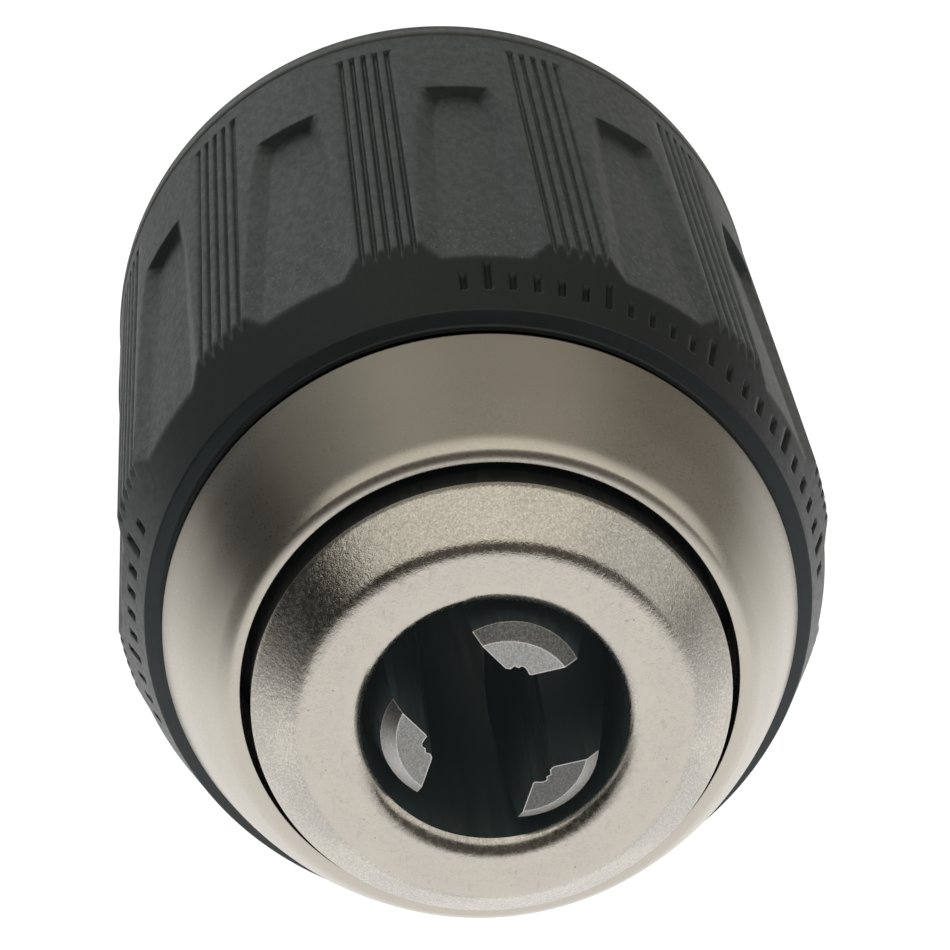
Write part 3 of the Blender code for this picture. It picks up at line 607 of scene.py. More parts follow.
def moulded_plastic():
    """Glass-filled nylon: sparked texture on the grip, a smoother satin cone and rim, and painted
    shade in the recesses.
    """
    finish = Finish("moulded_plastic", (0.03, 0.032, 0.032), 0.5)
    textured = finish.attribute("textured")
    painted_shade = finish.attribute("painted_shade")
    drawn = finish.stretched(1.0, 0.4, 1.0)
    mottle = finish.span(finish.noise(0.42, 4.0, 0.7, drawn), 0.3, 0.7)
    cloud = finish.span(finish.noise(3.5, 3.0, 0.5, drawn), 0.35, 0.65)
    depth = finish.axis_parts()[1]
    near_front = finish.span(depth, 6.0, -10.0)
    speck = finish.span(finish.noise(0.15, 1.0, 0.5, drawn), 0.6, 0.74)
    speck = finish.math("MULTIPLY", speck, finish.span(near_front, 0.0, 1.0, 0.15, 0.9))
    skin = finish.mix(mottle, (0.031, 0.037, 0.039), (0.048, 0.056, 0.058))
    skin = finish.mix(cloud, skin, finish.mix(0.35, skin, (0.058, 0.065, 0.067)))
    skin = finish.mix(speck, skin, (0.12, 0.13, 0.13))
    nose_place = NOSE_Y / MM
    rim = finish.span(depth, LAND_END_DEPTH + nose_place, SLEEVE_REAR + nose_place - 1.7)
    skin = finish.mix(rim, skin, (0.085, 0.083, 0.078))
    smooth_skin = finish.mix(textured, (0.008, 0.011, 0.012), skin)
    # Painted shade: the recesses are darkened in the colour here, and their specular level is lowered
    # further down.
    finish.set("Base Color", finish.mix(painted_shade, smooth_skin, (0.008, 0.009, 0.009)))
    finish.set("Specular Tint", (0.85, 0.96, 1.0, 1.0))
    grain = finish.noise(0.16, 3.0, 0.6, drawn)
    rough = finish.span(textured, 0.0, 1.0, 0.44, 0.54, smooth=False)
    finish.set("Roughness", finish.math("ADD", rough, finish.span(mottle, 0.0, 1.0, 0.04, -0.04)))
    relief = finish.math("MULTIPLY", grain, finish.span(textured, 0.0, 1.0, 0.15, 1.0, smooth=False))
    finish.bump(relief, 0.016)
    finish.set("Specular IOR Level", finish.span(painted_shade, 0.0, 1.0, 0.5, 0.2))
    return finish.material


def plain_metal(name, colour, roughness, lump=0.25, relief=0.008):
    """A steel or brass surface with a fine grain and clouded tone."""
    finish = Finish(name, colour, roughness, 1.0)
    grain = finish.noise(lump, 3.0, 0.6)
    cloud = finish.noise(lump * 12.0, 2.0)
    darker = tuple(0.78 * part for part in colour)
    finish.set("Base Color", finish.mix(finish.span(cloud, 0.3, 0.7), darker, colour))
    finish.set("Roughness", finish.span(grain, 0.3, 0.7, roughness - 0.06, roughness + 0.08))
    finish.soften(0.08)
    finish.bump(grain, relief)
    return finish.material


# ---------------------------------------------------------------- sleeve


def run(start, end, share):
    """A straight change from one value to another."""
    return start + (end - start) * share


def soft_min(first, second, width):
    """The lower of two surfaces, with the edge where they meet rounded."""
    share = np.clip(0.5 + 0.5 * (second - first) / width, 0.0, 1.0)
    return second + (first - second) * share - width * share * (1.0 - share)


def smooth_step(value, low, high):
    share = np.clip((value - low) / (high - low), 0.0, 1.0)
    return share * share * (3.0 - 2.0 * share)


def land_radius(depth):
    share = (depth - SHOULDER_DEPTH) / (LAND_END_DEPTH - SHOULDER_DEPTH)
    return run(SHOULDER_RADIUS, LAND_END_RADIUS, share)


def panel_angles(depth):
    """Half angles of a panel's floor and of its upper edge at each depth."""
    share = np.clip((depth - SHOULDER_DEPTH) / (PANEL_END_DEPTH - SHOULDER_DEPTH), 0.0, 1.0)
    upper = run(PANEL_FRONT_ANGLE, PANEL_REAR_ANGLE, share)
    return upper - PANEL_WALL_ANGLE, upper


def sector_columns():
    """Angles of the grid's columns across one half sector, where the pattern needs them."""
    floor = PANEL_FRONT_ANGLE - PANEL_WALL_ANGLE
    columns = list(np.linspace(0.0, floor - 0.5, 12))
    columns += [floor + step for step in (-0.2, 0.0, 0.2)]
    columns += list(np.linspace(floor + 0.8, PANEL_FRONT_ANGLE - 0.7, 3))
    columns += [PANEL_FRONT_ANGLE + step for step in (-0.25, -0.08, 0.1)]
    for groove in range(GROOVES_PER_HALF):
        centre = 0.5 * SECTOR - groove * GROOVE_SPACING
        for step in (0.0, 0.12, 0.25, 0.38, 0.52, 0.75):
            columns += [centre - step, centre + step]
    return [column for column in columns if 0.0 <= column <= 0.5 * SECTOR]


def sleeve_columns():
    """Angles of every column round the sleeve, denser at the marks on the cone."""
    columns = []
    half = sector_columns()
    for sector in range(SECTORS):
        columns += [sector * SECTOR + side * column for side in (-1.0, 1.0) for column in half]
    for centre in TICK_CLOCKS:
        columns += [centre + step for step in (-0.62, -0.42, -0.22, 0.0, 0.22, 0.42, 0.62)]
    columns = np.sort(np.mod(np.array(columns), 360.0))
    gaps = np.diff(columns, append=columns[0] + 360.0)
    return columns[gaps > LEAST_COLUMN_GAP]


def tick_sink(angle, depth):
    """How far each point is into a mark on the cone, from 0 to 1."""
    sink = np.zeros(np.broadcast(angle, depth).shape)
    arc = math.radians(1.0) * (LIP_RADIUS + 0.8)
    for centre in TICK_CLOCKS:
        length = TICK_LENGTHS[centre % LONG_TICK_STEP == 0]
        side = np.abs(angle - centre) * arc - TICK_HALF_WIDTH
        along = np.abs(depth - (TICK_FRONT + 0.5 * length)) - 0.5 * length
        sink = np.maximum(sink, 1.0 - smooth_step(np.maximum(side, along), -0.06, 0.07))
    return sink


def panel_relief(across, wall, deep):
    """Each panel's sink in millimetres, and the painted shade that darkens its rear end wall and
    corners.
    """
    floor_end = PANEL_END_FLOOR - PANEL_END_BOW * (across / 4.0) ** 2
    end_wall = (PANEL_END_DEPTH - deep) / (PANEL_END_DEPTH - floor_end)
    corner_wall = 0.93 * wall + 0.16 * end_wall - 0.5
    walls = soft_min(soft_min(wall, end_wall, 0.05), corner_wall, 0.05)
    sunk_share = -soft_min(-soft_min(walls, 1.0, 0.12), 0.0, 0.1)
    share = np.clip((deep - SHOULDER_DEPTH) / (PANEL_END_DEPTH - SHOULDER_DEPTH), -0.2, 1.0)
    sink = run(PANEL_FRONT_DEPTH, PANEL_REAR_DEPTH, share) * sunk_share

    shade = 0.12 * smooth_step(soft_min(wall, corner_wall, 0.05) - end_wall, -0.05, 0.05)
    shade = shade + 0.6 * smooth_step(wall - corner_wall, 0.0, 0.15)
    shade = shade * smooth_step(walls, -0.05, 0.1) * (1.0 - smooth_step(walls, 0.9, 1.1))
    return sink, shade * smooth_step(deep, PANEL_END_DEPTH - 2.4, PANEL_END_DEPTH - 1.2)


def groove_relief(across, land, deep):
    """How far each point is into a groove, from 0 to 1."""
    groove = np.zeros_like(across)
    for number in range(GROOVES_PER_HALF):
        centre = 0.5 * SECTOR - number * GROOVE_SPACING
        side = (across - centre) * math.radians(1.0) * land
        away = np.hypot(side, np.maximum(deep - GROOVE_END_DEPTH, 0.0))
        groove = np.maximum(groove, 1.0 - smooth_step(away, GROOVE_HALF_FLOOR, GROOVE_HALF_TOP))
    return groove


def hairline(value, centre, half_width):
    """A faint line's strength: 1 on its centre, fading smoothly to each side."""
    return np.exp(-(((value - centre) / half_width) ** 2))


def sleeve_surface(columns, depth):
    """Radius, angle, texture mask and painted shade mask of the sleeve's outside over its columns and
    rows.
    """
    sector = np.round(columns / SECTOR)
    offset = columns - sector * SECTOR
    floor_angle, upper_angle = panel_angles(depth)
    front_floor = PANEL_FRONT_ANGLE - PANEL_WALL_ANGLE
    stations = (0.0, front_floor, PANEL_FRONT_ANGLE, LAND_EDGE_ANGLE, 0.5 * SECTOR)
    across = np.array([
        np.interp(np.abs(offset), stations, (0.0, floor, upper, LAND_EDGE_ANGLE, 0.5 * SECTOR))
        for floor, upper in zip(floor_angle, upper_angle)
    ])
    angle = sector * SECTOR + np.sign(offset) * across
    deep = depth[:, None]

    land = land_radius(deep) + np.zeros_like(across)
    wall = (upper_angle[:, None] - across) / PANEL_WALL_ANGLE
    panel, end_shade = panel_relief(across, wall, deep)
    groove = groove_relief(across, land, deep)
    rim = smooth_step(deep, LAND_END_DEPTH, LAND_END_DEPTH + 0.5)
    rim_line = hairline(deep, LAND_END_DEPTH + 0.12, RIM_LINE_HALF_WIDTH)
    witness = hairline(deep, WITNESS_DEPTH, WITNESS_HALF_WIDTH)
    witness = witness * (np.abs(angle - WITNESS_CLOCK) < WITNESS_HALF_ANGLE)
    grip = land - panel - GROOVE_DEPTH * groove - RIM_LINE_SINK * rim_line
    grip = grip + (RIM_RADIUS - LAND_END_RADIUS) * rim - WITNESS_SINK * witness

    cone_slope = (SHOULDER_RADIUS - LIP_RADIUS) / (SHOULDER_DEPTH - LIP_DEPTH)
    cone = LIP_RADIUS + (deep - LIP_DEPTH) * cone_slope
    lip = LIP_RADIUS - (LIP_DEPTH - deep) * LIP_SLOPE
    tick = tick_sink(np.where(angle > 180.0, angle - 360.0, angle), deep)
    front = soft_min(cone, lip, LIP_ROUND) - TICK_SINK * tick
    radius = soft_min(grip, front, EDGE_ROUND)

    textured = smooth_step(front - grip, -0.03, 0.05) * (1.0 - 0.25 * rim)
    on_grip = smooth_step(front - grip, -0.1, 0.1)
    # Painted shade: the grooves, the rim line, the panels' end walls, the marks on the cone and the
    # moulding line are darkened in the colour as if shaded.
    shades = (0.45 * groove * on_grip, 0.25 * rim_line, end_shade, 0.7 * tick * (front < grip))
    painted_shade = 0.5 * witness
    for shade in shades:
        painted_shade = np.maximum(painted_shade, shade)
    return radius, angle, textured, painted_shade


def grip_sleeve(finish):
    """The moulded sleeve as one closed skin: patterned outside, rounded rim, stepped bore."""
    columns = sleeve_columns()
    depth = np.concatenate([np.linspace(*stretch) for stretch in SLEEVE_ROWS])
    radius, angle, textured, painted_shade = sleeve_surface(columns, depth)
    outside = at(radius, angle, depth[:, None])

    plain = rounded([
        (RIM_RADIUS, SLEEVE_REAR - RIM_ROUND - 0.2, 0.0),
        (RIM_RADIUS, SLEEVE_REAR, RIM_ROUND),
        (SLEEVE_BORE, SLEEVE_REAR, 0.3),
        (SLEEVE_BORE, SLEEVE_STEP, 0.2),
        (SLEEVE_FRONT_BORE, SLEEVE_STEP, 0.2),
        (SLEEVE_FRONT_BORE, SLEEVE_FRONT, 0.1),
        (LIP_RADIUS - (LIP_DEPTH - SLEEVE_FRONT) * LIP_SLOPE, SLEEVE_FRONT, 0.04),
    ], steps=4)
    inside = at(plain[:, :1], angle[-1][None, :], plain[:, 1:])
    sleeve = wrapped_grid("sleeve_moulding", np.concatenate([outside, inside]), [finish])

    # Point attributes: where the grip is textured, and how much painted shade darkens each point.
    for name, mask in (("textured", textured), ("painted_shade", painted_shade)):
        values = np.concatenate([mask, np.zeros((len(plain), len(columns)))]).astype(np.float32)
        layer = sleeve.data.attributes.new(name, "FLOAT", "POINT")
        layer.data.foreach_set("value", values.ravel())
    return rides(sleeve, "sleeve", "grip_plastic", "grip_sleeve")


# ---------------------------------------------------------------- collar, body and rear


def front_collar(finish):
    """The plated collar: rolled rim round the nose, cone and skirt."""
    corners = COLLAR_CONE + fillet(*COLLAR_RIM)[::-1] + COLLAR_BACK
    collar = turned("collar_plated", corners, [finish])
    return rides(collar, "sleeve", "nickel_plate", "front_collar")


def jaw_point(along, out):
    """Radius and depth of a point in a jaw's plane, from its axis point at the tip."""
    tilt = math.radians(JAW_TILT)
    start = JAW_AXIS_AT_NOSE + JAW_TIP_DEPTH * math.tan(tilt)
    radius = start + along * math.sin(tilt) + out * math.cos(tilt)
    return radius, JAW_TIP_DEPTH + along * math.cos(tilt) - out * math.sin(tilt)


def frame_at(clock, radius, depth, tilt=0.0):
    """A frame that takes millimetres, its x outward and z rearward, leaning out by a tilt."""
    angle, lean = math.radians(clock), math.radians(tilt)
    radial = Vector((math.sin(angle), 0.0, math.cos(angle)))
    axial = Vector((0.0, 1.0, 0.0))
    z = axial * math.cos(lean) + radial * math.sin(lean)
    x = radial * math.cos(lean) - axial * math.sin(lean)
    turn = Matrix((x, z.cross(x), z)).transposed().to_4x4()
    return Matrix.Translation(Vector(at(radius, clock, depth))) @ turn @ Matrix.Scale(MM, 4)


def jaw_frame(clock):
    radius, depth = jaw_point(0.0, 0.0)
    return frame_at(clock, radius, depth, JAW_TILT)


def rod(name, place, radius_start, radius_end, start, end, segments, finishes):
    """A cylinder or cone along a frame's z."""
    shape = bmesh.new()
    centre = place @ Matrix.Translation((0.0, 0.0, 0.5 * (start + end)))
    bmesh.ops.create_cone(
        shape, cap_ends=True, segments=segments, radius1=radius_start, radius2=radius_end,
        depth=end - start, matrix=centre,
    )
    mesh = bpy.data.meshes.new(name)
    shape.to_mesh(mesh)
    shape.free()
    return new_object(mesh, name, finishes)


def prisms(name, place, profiles, order, low, high, finishes):
    """Prisms with these profiles, drawn and pushed along the frame's axes in an order."""
    shape = bmesh.new()
    for profile in profiles:
        ends = []
        for reach in (low, high):
            ring = []
            for first, second in profile:
                parts = dict(zip(order, (first, second, reach)))
                ring.append(shape.verts.new(place @ Vector((parts["x"], parts["y"], parts["z"]))))
            ends.append(ring)
        count = len(profile)
        for index in range(count):
            after = (index + 1) % count
            shape.faces.new((ends[0][index], ends[0][after], ends[1][after], ends[1][index]))
        shape.faces.new(ends[0][::-1])
        shape.faces.new(ends[1])
    bmesh.ops.recalc_face_normals(shape, faces=shape.faces)
    mesh = bpy.data.meshes.new(name)
    shape.to_mesh(mesh)
    shape.free()
    return new_object(mesh, name, finishes)


def carve(piece, steps):
    """Apply Boolean steps of (cutter, operation), then drop the cutters."""
    for cutter, operation in steps:
        change = piece.modifiers.new(cutter.name, "BOOLEAN")
        change.operation = operation
        change.solver = "MANIFOLD"
        change.object = cutter
    bpy.context.view_layer.update()
    graph = bpy.context.evaluated_depsgraph_get()
    made = bpy.data.meshes.new_from_object(piece.evaluated_get(graph), depsgraph=graph)
    piece.modifiers.clear()
    piece.data = made
    for cutter, _ in steps:
        bpy.data.objects.remove(cutter)
    made.shade_smooth()
    made.set_sharp_from_angle(angle=math.radians(SHARP_ANGLE))


def paint_faces(piece, rule):
    """Give each face the material that a rule picks from its centre and normal."""
    for face in piece.data.polygons:
        centre = face.center / MM
        depth = centre.y - NOSE_Y / MM
        face.material_index = rule(math.hypot(centre.x, centre.z), depth, face.normal)


def chuck_body(nose_finish, bore_finish, rear_finish):
    """The steel body: blasted nose, black bore, and the bright boss with its socket."""
    fillet_corners = fillet(NOSE_FLAT_RADIUS, 0.0, NOSE_FILLET, NOSE_TILT)
    cone_depth = fillet_corners[-1][1]
    cone_depth += (NOSE_CONE_RADIUS - fillet_corners[-1][0]) * math.tan(math.radians(NOSE_TILT))
    hole_tilt = math.degrees(math.asin((HOLE_EDGE_RADIUS - HOLE_RADIUS) / HOLE_FILLET))
    corners = [
        *BODY_OUTSIDE,
        (NOSE_RADIUS, cone_depth + 0.2, 0.06),
        (NOSE_CONE_RADIUS, cone_depth, 0.1),
        *fillet_corners[::-1],
        (NOSE_FLAT_RADIUS - FLAT_MARGIN, 0.0, 0.0),
        (HOLE_EDGE_RADIUS + FLAT_MARGIN, 0.0, 0.0),
        *fillet(HOLE_EDGE_RADIUS, 0.0, -HOLE_FILLET, hole_tilt)[:-1],
        (HOLE_RADIUS, HOLE_FILLET * (1.0 - math.cos(math.radians(hole_tilt))), 0.06),
        (HOLE_RADIUS, BIT_BORE_DEPTH, 0.3),
        (THROUGH_RADIUS, BIT_BORE_DEPTH + 2.0, 0.3),
        (THROUGH_RADIUS, SOCKET_FLOOR, 0.1),
        (SOCKET_RADIUS, SOCKET_FLOOR, 0.2),
        (SOCKET_RADIUS, REAR_DEPTH - SOCKET_CHAMFER, 0.1),
        (SOCKET_RADIUS + SOCKET_CHAMFER, REAR_DEPTH, 0.12),
    ]
    finishes = [nose_finish, bore_finish, rear_finish]
    body = turned("body_turned", corners, finishes)
    steps = []
    for clock in JAW_CLOCKS:
        cutter = rod(
            f"bore_{clock:.0f}", jaw_frame(clock), JAW_BORE_RADIUS, JAW_BORE_RADIUS, *BORE_SPAN,
            ROD_SEGMENTS, finishes,
        )
        steps.append((cutter, "DIFFERENCE"))
    carve(body, steps)

    def rule(radius, depth, _):
        if depth > REAR_PAINT_DEPTH:
            return 2
        inside_bore = radius < HOLE_RADIUS + 0.02 and depth > BORE_PAINT_DEPTH
        return int(inside_bore or depth > NOSE_PAINT_DEPTH)

    paint_faces(body, rule)
    return rides(body, "body", "body_steel", "chuck_body")


def chuck_jaw(number, clock, side_finish, tip_finish):
    """One jaw: bevelled tip, gripping edge with its fine serrations, shank and teeth."""
    finishes = [side_finish, tip_finish]
    place = jaw_frame(clock)
    jaw = rod(
        f"jaw_ground_{number}", place, JAW_RADIUS, JAW_RADIUS, -5.0, JAW_LENGTH, ROD_SEGMENTS, finishes
    )

    tip_radius = JAW_RADIUS / math.cos(math.radians(JAW_TILT)) - JAW_BEVEL
    straight = frame_at(clock, *jaw_point(0.0, 0.0))
    bevel = rod(
        f"bevel_{number}", straight, tip_radius, tip_radius + BEVEL_REACH, 0.0, BEVEL_REACH,
        FINE_SEGMENTS, finishes,
    )

    half = 0.5 * JAW_GRIP_WIDTH
    spread = GRIP_REACH * math.sin(math.radians(JAW_FACE_HALF_ANGLE))
    outer = JAW_GRIP_RADIUS + GRIP_REACH * math.cos(math.radians(JAW_FACE_HALF_ANGLE))
    profile = [
        (GRIP_BACK, -half - spread),
        (outer, -half - spread),
        (JAW_GRIP_RADIUS, -half),
        *((JAW_GRIP_RADIUS + sink, side) for sink, side in JAW_NOTCH),
        (JAW_GRIP_RADIUS, half),
        (outer, half + spread),
        (GRIP_BACK, half + spread),
    ]
    axis = frame_at(clock, 0.0, 0.0)
    grip = prisms(f"grip_{number}", axis, [profile], "xyz", GRIP_FRONT, BIT_BORE_DEPTH, finishes)

    top = 0.5 * (TOOTH_PITCH - TOOTH_WIDTH + FLANK_SLOPE * TOOTH_CLEARANCE)
    floor = 0.5 * (TOOTH_PITCH - TOOTH_WIDTH - FLANK_SLOPE * TOOTH_DEPTH)
    centre = TOOTH_START + TOOTH_PITCH * clock / 360.0
    centre += math.ceil((FIRST_TOOTH_AT - centre) / TOOTH_PITCH) * TOOTH_PITCH
    slots = []
    while centre < JAW_LENGTH + 0.5 * TOOTH_PITCH:
        slots.append([
            (JAW_RADIUS + TOOTH_CLEARANCE, centre - top),
            (JAW_RADIUS + TOOTH_CLEARANCE, centre + top),
            (JAW_RADIUS - TOOTH_DEPTH, centre + floor),
            (JAW_RADIUS - TOOTH_DEPTH, centre - floor),
        ])
        centre += TOOTH_PITCH
    teeth = prisms(f"teeth_{number}", place, slots, "xzy", *TOOTH_SPAN, finishes)

    opened = place @ Vector((0.0, 0.0, -JAW_OPENING_STROKE)) - place.translation
    swing_axis = Matrix.Translation(opened) @ frame_at(0.0, 0.0, 0.0)
    swing = rod(
        f"swing_{number}", swing_axis, JAW_SWING_RADIUS, JAW_SWING_RADIUS, *SWING_SPAN,
        FINE_SEGMENTS, finishes,
    )

    steps = [(bevel, "INTERSECT"), (grip, "DIFFERENCE"), (teeth, "DIFFERENCE"), (swing, "INTERSECT")]
    carve(jaw, steps)
    paint_faces(jaw, lambda _, depth, normal: int(normal.y < -0.3 and depth < TIP_PAINT_DEPTH))
    return rides(jaw, f"jaw_{number}", "jaw_steel", f"jaw_{number}")


def spindle_thread(finish):
    """The socket's internal thread: a ridge wound inside the wall, fading at both ends."""
    first, last = SOCKET_FLOOR + 2.0, REAR_DEPTH - 1.3
    steps = int((last - first) / THREAD_PITCH * THREAD_STEPS)
    share = np.linspace(0.0, 1.0, steps + 1)[:, None]
    clock = share * steps / THREAD_STEPS * 360.0
    depth = run(first, last, share)
    fade = np.minimum(1.0, np.minimum(share, 1.0 - share) * steps / THREAD_FADE_STEPS)
    reach, side = THREAD_SECTION.T[:, None, :]
    reach = np.where(reach > 0.0, reach, reach * fade + 0.02)
    points = at(SOCKET_RADIUS + reach, clock, depth + side)
    rows, columns = points.shape[:2]
    shape = bmesh.new()
    grid = [[shape.verts.new(point) for point in row] for row in points]
    for low, high in zip(grid, grid[1:]):
        for index in range(columns):
            after = (index + 1) % columns
            shape.faces.new((low[index], low[after], high[after], high[index]))
    shape.faces.new(grid[0][::-1])
    shape.faces.new(grid[-1])
    bmesh.ops.recalc_face_normals(shape, faces=shape.faces)
    mesh = bpy.data.meshes.new("spindle_thread")
    shape.to_mesh(mesh)
    shape.free()
    thread = new_object(mesh, "spindle_thread", [finish])
    mesh.set_sharp_from_angle(angle=math.radians(THREAD_SHARP_ANGLE))
    return rides(thread, "body", "body_steel")


def rear_cover(finish):
    """The dished, plated plate that closes the back."""
    cover = turned("cover_pressed", COVER_CORNERS, [finish])
    return rides(cover, "body", "zinc_plate", "rear_cover")


def rear_circlip(finish):
    """The snap ring on the boss: an arc of flat strip with an eyed lug each side of its mouth."""
    inner, outer, clock, mouth, front, rear = CIRCLIP
    name = "circlip_sprung"
    curve = bpy.data.curves.new(name, "CURVE")
    curve.dimensions = "2D"
    curve.fill_mode = "BOTH"
    curve.extrude = (0.5 * (rear - front) - CIRCLIP_EDGE) * MM
    curve.bevel_depth = CIRCLIP_EDGE * MM
    curve.bevel_resolution = 1
    start, end = clock + 0.5 * mouth, clock + 360.0 - 0.5 * mouth
    turn = np.linspace(start, end, 140)
    nearest = np.minimum(turn - start, end - turn)
    swell = CIRCLIP_LUG * (1.0 - smooth_step(nearest, *LUG_ANGLES))
    rim = [(outer + extra, math.radians(angle)) for angle, extra in zip(turn, swell)]
    rim += [(inner, math.radians(angle)) for angle in turn[::-1]]
    outlines = [[Vector((math.sin(a), math.cos(a))) * radius for radius, a in rim]]
    for eye in (math.radians(start + EYE_ANGLE), math.radians(end - EYE_ANGLE)):
        middle = Vector((math.sin(eye), math.cos(eye))) * 0.5 * (inner + outer + CIRCLIP_LUG)
        angles = np.linspace(0.0, 2.0 * math.pi, 24, endpoint=False)
        outlines.append([middle + EYE_RADIUS * Vector((math.cos(a), math.sin(a))) for a in angles])
    for outline in outlines:
        spline = curve.splines.new("POLY")
        spline.points.add(len(outline) - 1)
        spline.use_cyclic_u = True
        for point, place in zip(spline.points, outline):
            point.co = (place.x * MM, place.y * MM, 0.0, 1.0)
    drawn = bpy.data.objects.new(name, curve)
    bpy.context.scene.collection.objects.link(drawn)
    bpy.context.view_layer.update()
    graph = bpy.context.evaluated_depsgraph_get()
    mesh = bpy.data.meshes.new_from_object(drawn.evaluated_get(graph), depsgraph=graph)
    bpy.data.objects.remove(drawn)
    upright = Matrix(((1, 0, 0, 0), (0, 0, 1, 0), (0, 1, 0, 0), (0, 0, 0, 1)))
    mesh.transform(Matrix.Translation(Vector(at(0.0, 0.0, 0.5 * (front + rear)))) @ upright)
    shape = bmesh.new()
    shape.from_mesh(mesh)
    bmesh.ops.remove_doubles(shape, verts=shape.verts, dist=WELD_DISTANCE * MM)
    bmesh.ops.recalc_face_normals(shape, faces=shape.faces)
    shape.to_mesh(mesh)
    shape.free()
    ring = new_object(mesh, name, [finish])
    mesh.set_sharp_from_angle(angle=math.radians(CIRCLIP_SHARP_ANGLE))
    return rides(ring, "body", "clip_steel", "rear_circlip")


def bearing_balls(finish):
    """Smooth balls in place of the coarse ones."""
    for number in range(1, BALL_COUNT + 1):
        node = f"bearing_ball_{number:02d}"
        low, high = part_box(node)
        shape = bmesh.new()
        radius = 0.5 * (high - low).y
        middle = Matrix.Translation((low + high) / 2)
        bmesh.ops.create_icosphere(shape, subdivisions=4, radius=radius, matrix=middle)
        mesh = bpy.data.meshes.new(f"ball_{number:02d}")
        shape.to_mesh(mesh)
        shape.free()
        rides(new_object(mesh, f"ball_{number:02d}", [finish]), "bearing", "ball_steel", node)


def dress_frame():
    """Finishes for the inner CAD pieces that keep their own meshes."""
    finishes = {
        "nut_half_a": plain_metal("nut_steel", (0.34, 0.34, 0.35), 0.36),
        "nut_band": plain_metal("band_steel", (0.4, 0.4, 0.42), 0.32),
        "nut_race": plain_metal("race_steel", (0.55, 0.55, 0.57), 0.2, 0.12, 0.003),
        "ball_cage": plain_metal("cage_brass", (0.62, 0.44, 0.17), 0.3),
        "lock_spring": plain_metal("spring_steel", (0.22, 0.24, 0.3), 0.28),
        "lock_cam": plain_metal("cam_steel", (0.3, 0.31, 0.33), 0.34),
        "drive_ring": plain_metal("drive_steel", (0.36, 0.36, 0.37), 0.4),
        "retaining_clip": plain_metal("clip_steel", (0.14, 0.14, 0.15), 0.35),
    }
    finishes["nut_half_b"] = finishes["nut_half_a"]
    finishes["ratchet_race"] = finishes["nut_race"]
    for name, finish in finishes.items():
        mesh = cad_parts[name].data
        mesh.materials.clear()
        mesh.materials.append(finish)


# ---------------------------------------------------------------- studio


def studio_world():
    """A light tent: bright behind, a soft box overhead, a dim ceiling and a dark left side."""
    world = bpy.data.worlds.new("light_tent")
    bpy.context.scene.world = world
    world.use_nodes = True
    graph = Graph(world.node_tree)
    toward = graph.node("ShaderNodeTexCoord").outputs["Generated"]

    def lobe(axis, inner, outer):
        """1 within the inner angle of an axis, fading to 0 at the outer one."""
        near = graph.dot(toward, Vector(axis).normalized())
        return graph.span(near, math.cos(math.radians(outer)), math.cos(math.radians(inner)))

    up = graph.dot(toward, (0.0, 0.0, 1.0))
    horizon = graph.span(up, 0.15, -0.02)
    back_and_right = graph.span(graph.dot(toward, (0.42, 0.91, 0.0)), 0.15, 0.9)

    overhead = Vector((0.0, -0.45, 0.89)).normalized()
    ahead = Vector((0.0, -0.89, -0.45)).normalized()
    facing = graph.math("MAXIMUM", graph.dot(toward, overhead), 0.02)
    sideways = graph.math("DIVIDE", graph.dot(toward, (1.0, 0.0, 0.0)), facing)
    forward = graph.math("DIVIDE", graph.dot(toward, ahead), facing)
    box = graph.math("MULTIPLY", graph.span(sideways, -1.42, -1.27), graph.span(sideways, 1.3, 0.7))
    box = graph.math("MULTIPLY", box, graph.span(forward, 0.36, 0.27))
    box = graph.math("MULTIPLY", box, graph.span(forward, -0.42, -0.24))

    parts = [
        (graph.math("MULTIPLY", horizon, back_and_right), (1.0, 1.0, 0.98), 0.4),
        (box, (1.0, 0.97, 0.88), 0.95),
    ]
    for axis, inner, outer, colour, strength in GLOWS:
        parts.append((lobe(axis, inner, outer), colour, strength))
    left = graph.span(graph.dot(toward, (1.0, 0.0, 0.0)), 0.0, -0.7)
    total = graph.mix(left, (0.1, 0.088, 0.074), (0.036, 0.035, 0.03))
    for share, colour, strength in parts:
        bright = tuple(strength * part for part in colour)
        total = graph.mix(share, total, bright, "ADD")
    seen = graph.node("ShaderNodeLightPath").outputs["Is Camera Ray"]
    background = world.node_tree.nodes["Background"]
    graph.feed(background.inputs["Color"], graph.mix(seen, total, (1.0, 1.0, 1.0)))


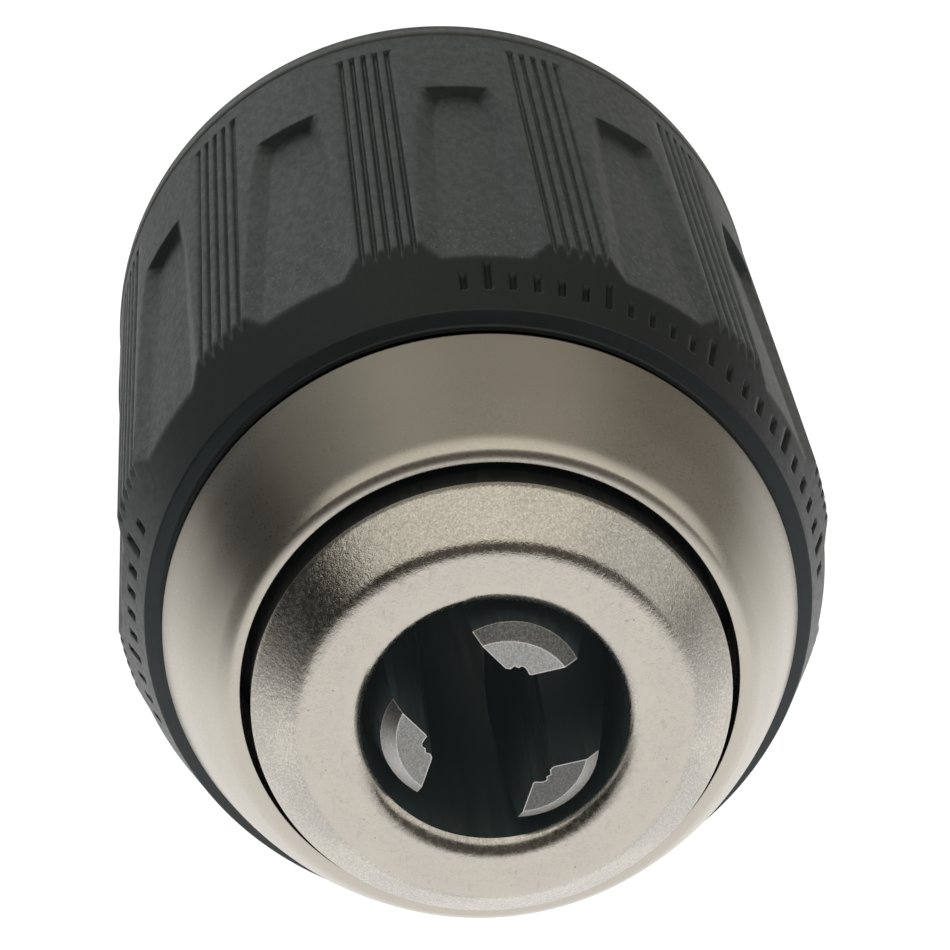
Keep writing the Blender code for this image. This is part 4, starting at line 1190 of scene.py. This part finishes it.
def studio_floor():
    """A pale floor that glows like a lit table: white to the eye, dimmer at grazing angles."""
    finish = Finish("pale_floor", (0.8, 0.8, 0.8), 0.9)
    tone = finish.noise(40.0, 2.0)
    finish.set("Base Color", finish.mix(tone, (0.22, 0.22, 0.22), (0.25, 0.25, 0.25)))
    finish.set("Specular IOR Level", 0.0)
    toward = finish.node("ShaderNodeNewGeometry").outputs["Incoming"]
    up = finish.dot(toward, (0.0, 0.0, 1.0))
    across = finish.math("ABSOLUTE", finish.dot(toward, (1.0, 0.0, 0.0)))
    ahead = finish.math("MAXIMUM", finish.dot(toward, (0.0, 1.0, 0.0)), 0.0)
    corners = finish.math("MULTIPLY", finish.math("MULTIPLY", across, ahead), 0.3)
    steep = finish.math("ADD", finish.dot(toward, (-0.08, 0.0, 1.0)), corners)
    steep = finish.math("SUBTRACT", steep, finish.math("MULTIPLY", across, 0.06))
    middle = finish.math("MULTIPLY", finish.span(across, 0.45, 0.2), finish.span(ahead, 0.0, 0.3))
    glow = finish.span(steep, -0.15, 0.42, 0.1, FLOOR_BRIGHT, smooth=False)
    middle_glow = finish.span(up, 0.03, 0.3, 0.1, FLOOR_BRIGHT, smooth=False)
    glow = finish.blend(middle, glow, middle_glow)
    card = finish.span(finish.dot(toward, (0.95, 0.31, 0.0)), 0.8, 0.91)
    card_glow = finish.span(up, 0.2, 0.42, 0.08, 1.0, smooth=False)
    glow = finish.blend(card, glow, card_glow)
    seen = finish.node("ShaderNodeLightPath").outputs["Is Camera Ray"]
    strength = finish.math("MAXIMUM", glow, seen)
    finish.set("Emission Color", (1.0, 0.99, 0.975, 1.0))
    finish.set("Emission Strength", strength)
    mesh = bpy.data.meshes.new("floor")
    shape = bmesh.new()
    place = Matrix.Translation((0.0, 0.0, CAD_LOW.z - FLOOR_GAP * MM))
    bmesh.ops.create_grid(shape, x_segments=8, y_segments=8, size=FLOOR_SIZE * MM, matrix=place)
    shape.to_mesh(mesh)
    shape.free()
    new_object(mesh, "floor", [finish.material])


def studio_camera():
    """A long lens a little left of the axis, looking down on the nose."""
    camera = bpy.data.objects.new("camera", bpy.data.cameras.new("camera"))
    bpy.context.scene.collection.objects.link(camera)
    camera.data.lens = CAMERA_LENS
    camera.data.sensor_width = 36.0
    camera.data.clip_start = 10.0 * MM
    camera.location = Vector((0.0, NOSE_Y, 0.0)) + Vector(CAMERA_PLACE) * MM
    camera.rotation_mode = "QUATERNION"
    roll = Quaternion((0.0, 0.0, 1.0), math.radians(CAMERA_ROLL))
    camera.rotation_quaternion = Vector(CAMERA_AIM).to_track_quat("-Z", "Y") @ roll
    bpy.context.scene.camera = camera
    bpy.context.scene.view_settings.view_transform = "Standard"


def main():
    nose, bore, steel = blasted_steel(), black_oxide(), turned_steel()
    grip_sleeve(moulded_plastic())
    front_collar(satin_nickel())
    chuck_body(nose, bore, steel)
    # Each jaw gets its own copy of the tip finish, with painted light or shade on its face.
    for number, (clock, bright) in enumerate(zip(JAW_CLOCKS, JAW_FACE_PAINTED_LIGHT), start=1):
        chuck_jaw(number, clock, bore, ground_tip(f"jaw_tip_{number}", bright))
    spindle_thread(steel)
    rear_cover(plain_metal("zinc_plate", (0.5, 0.5, 0.49), 0.34))
    rear_circlip(plain_metal("circlip_steel", (0.09, 0.09, 0.1), 0.36))
    bearing_balls(plain_metal("ball_steel", (0.72, 0.72, 0.74), 0.12, 0.1, 0.001))
    dress_frame()
    studio_world()
    studio_floor()
    studio_camera()


main()
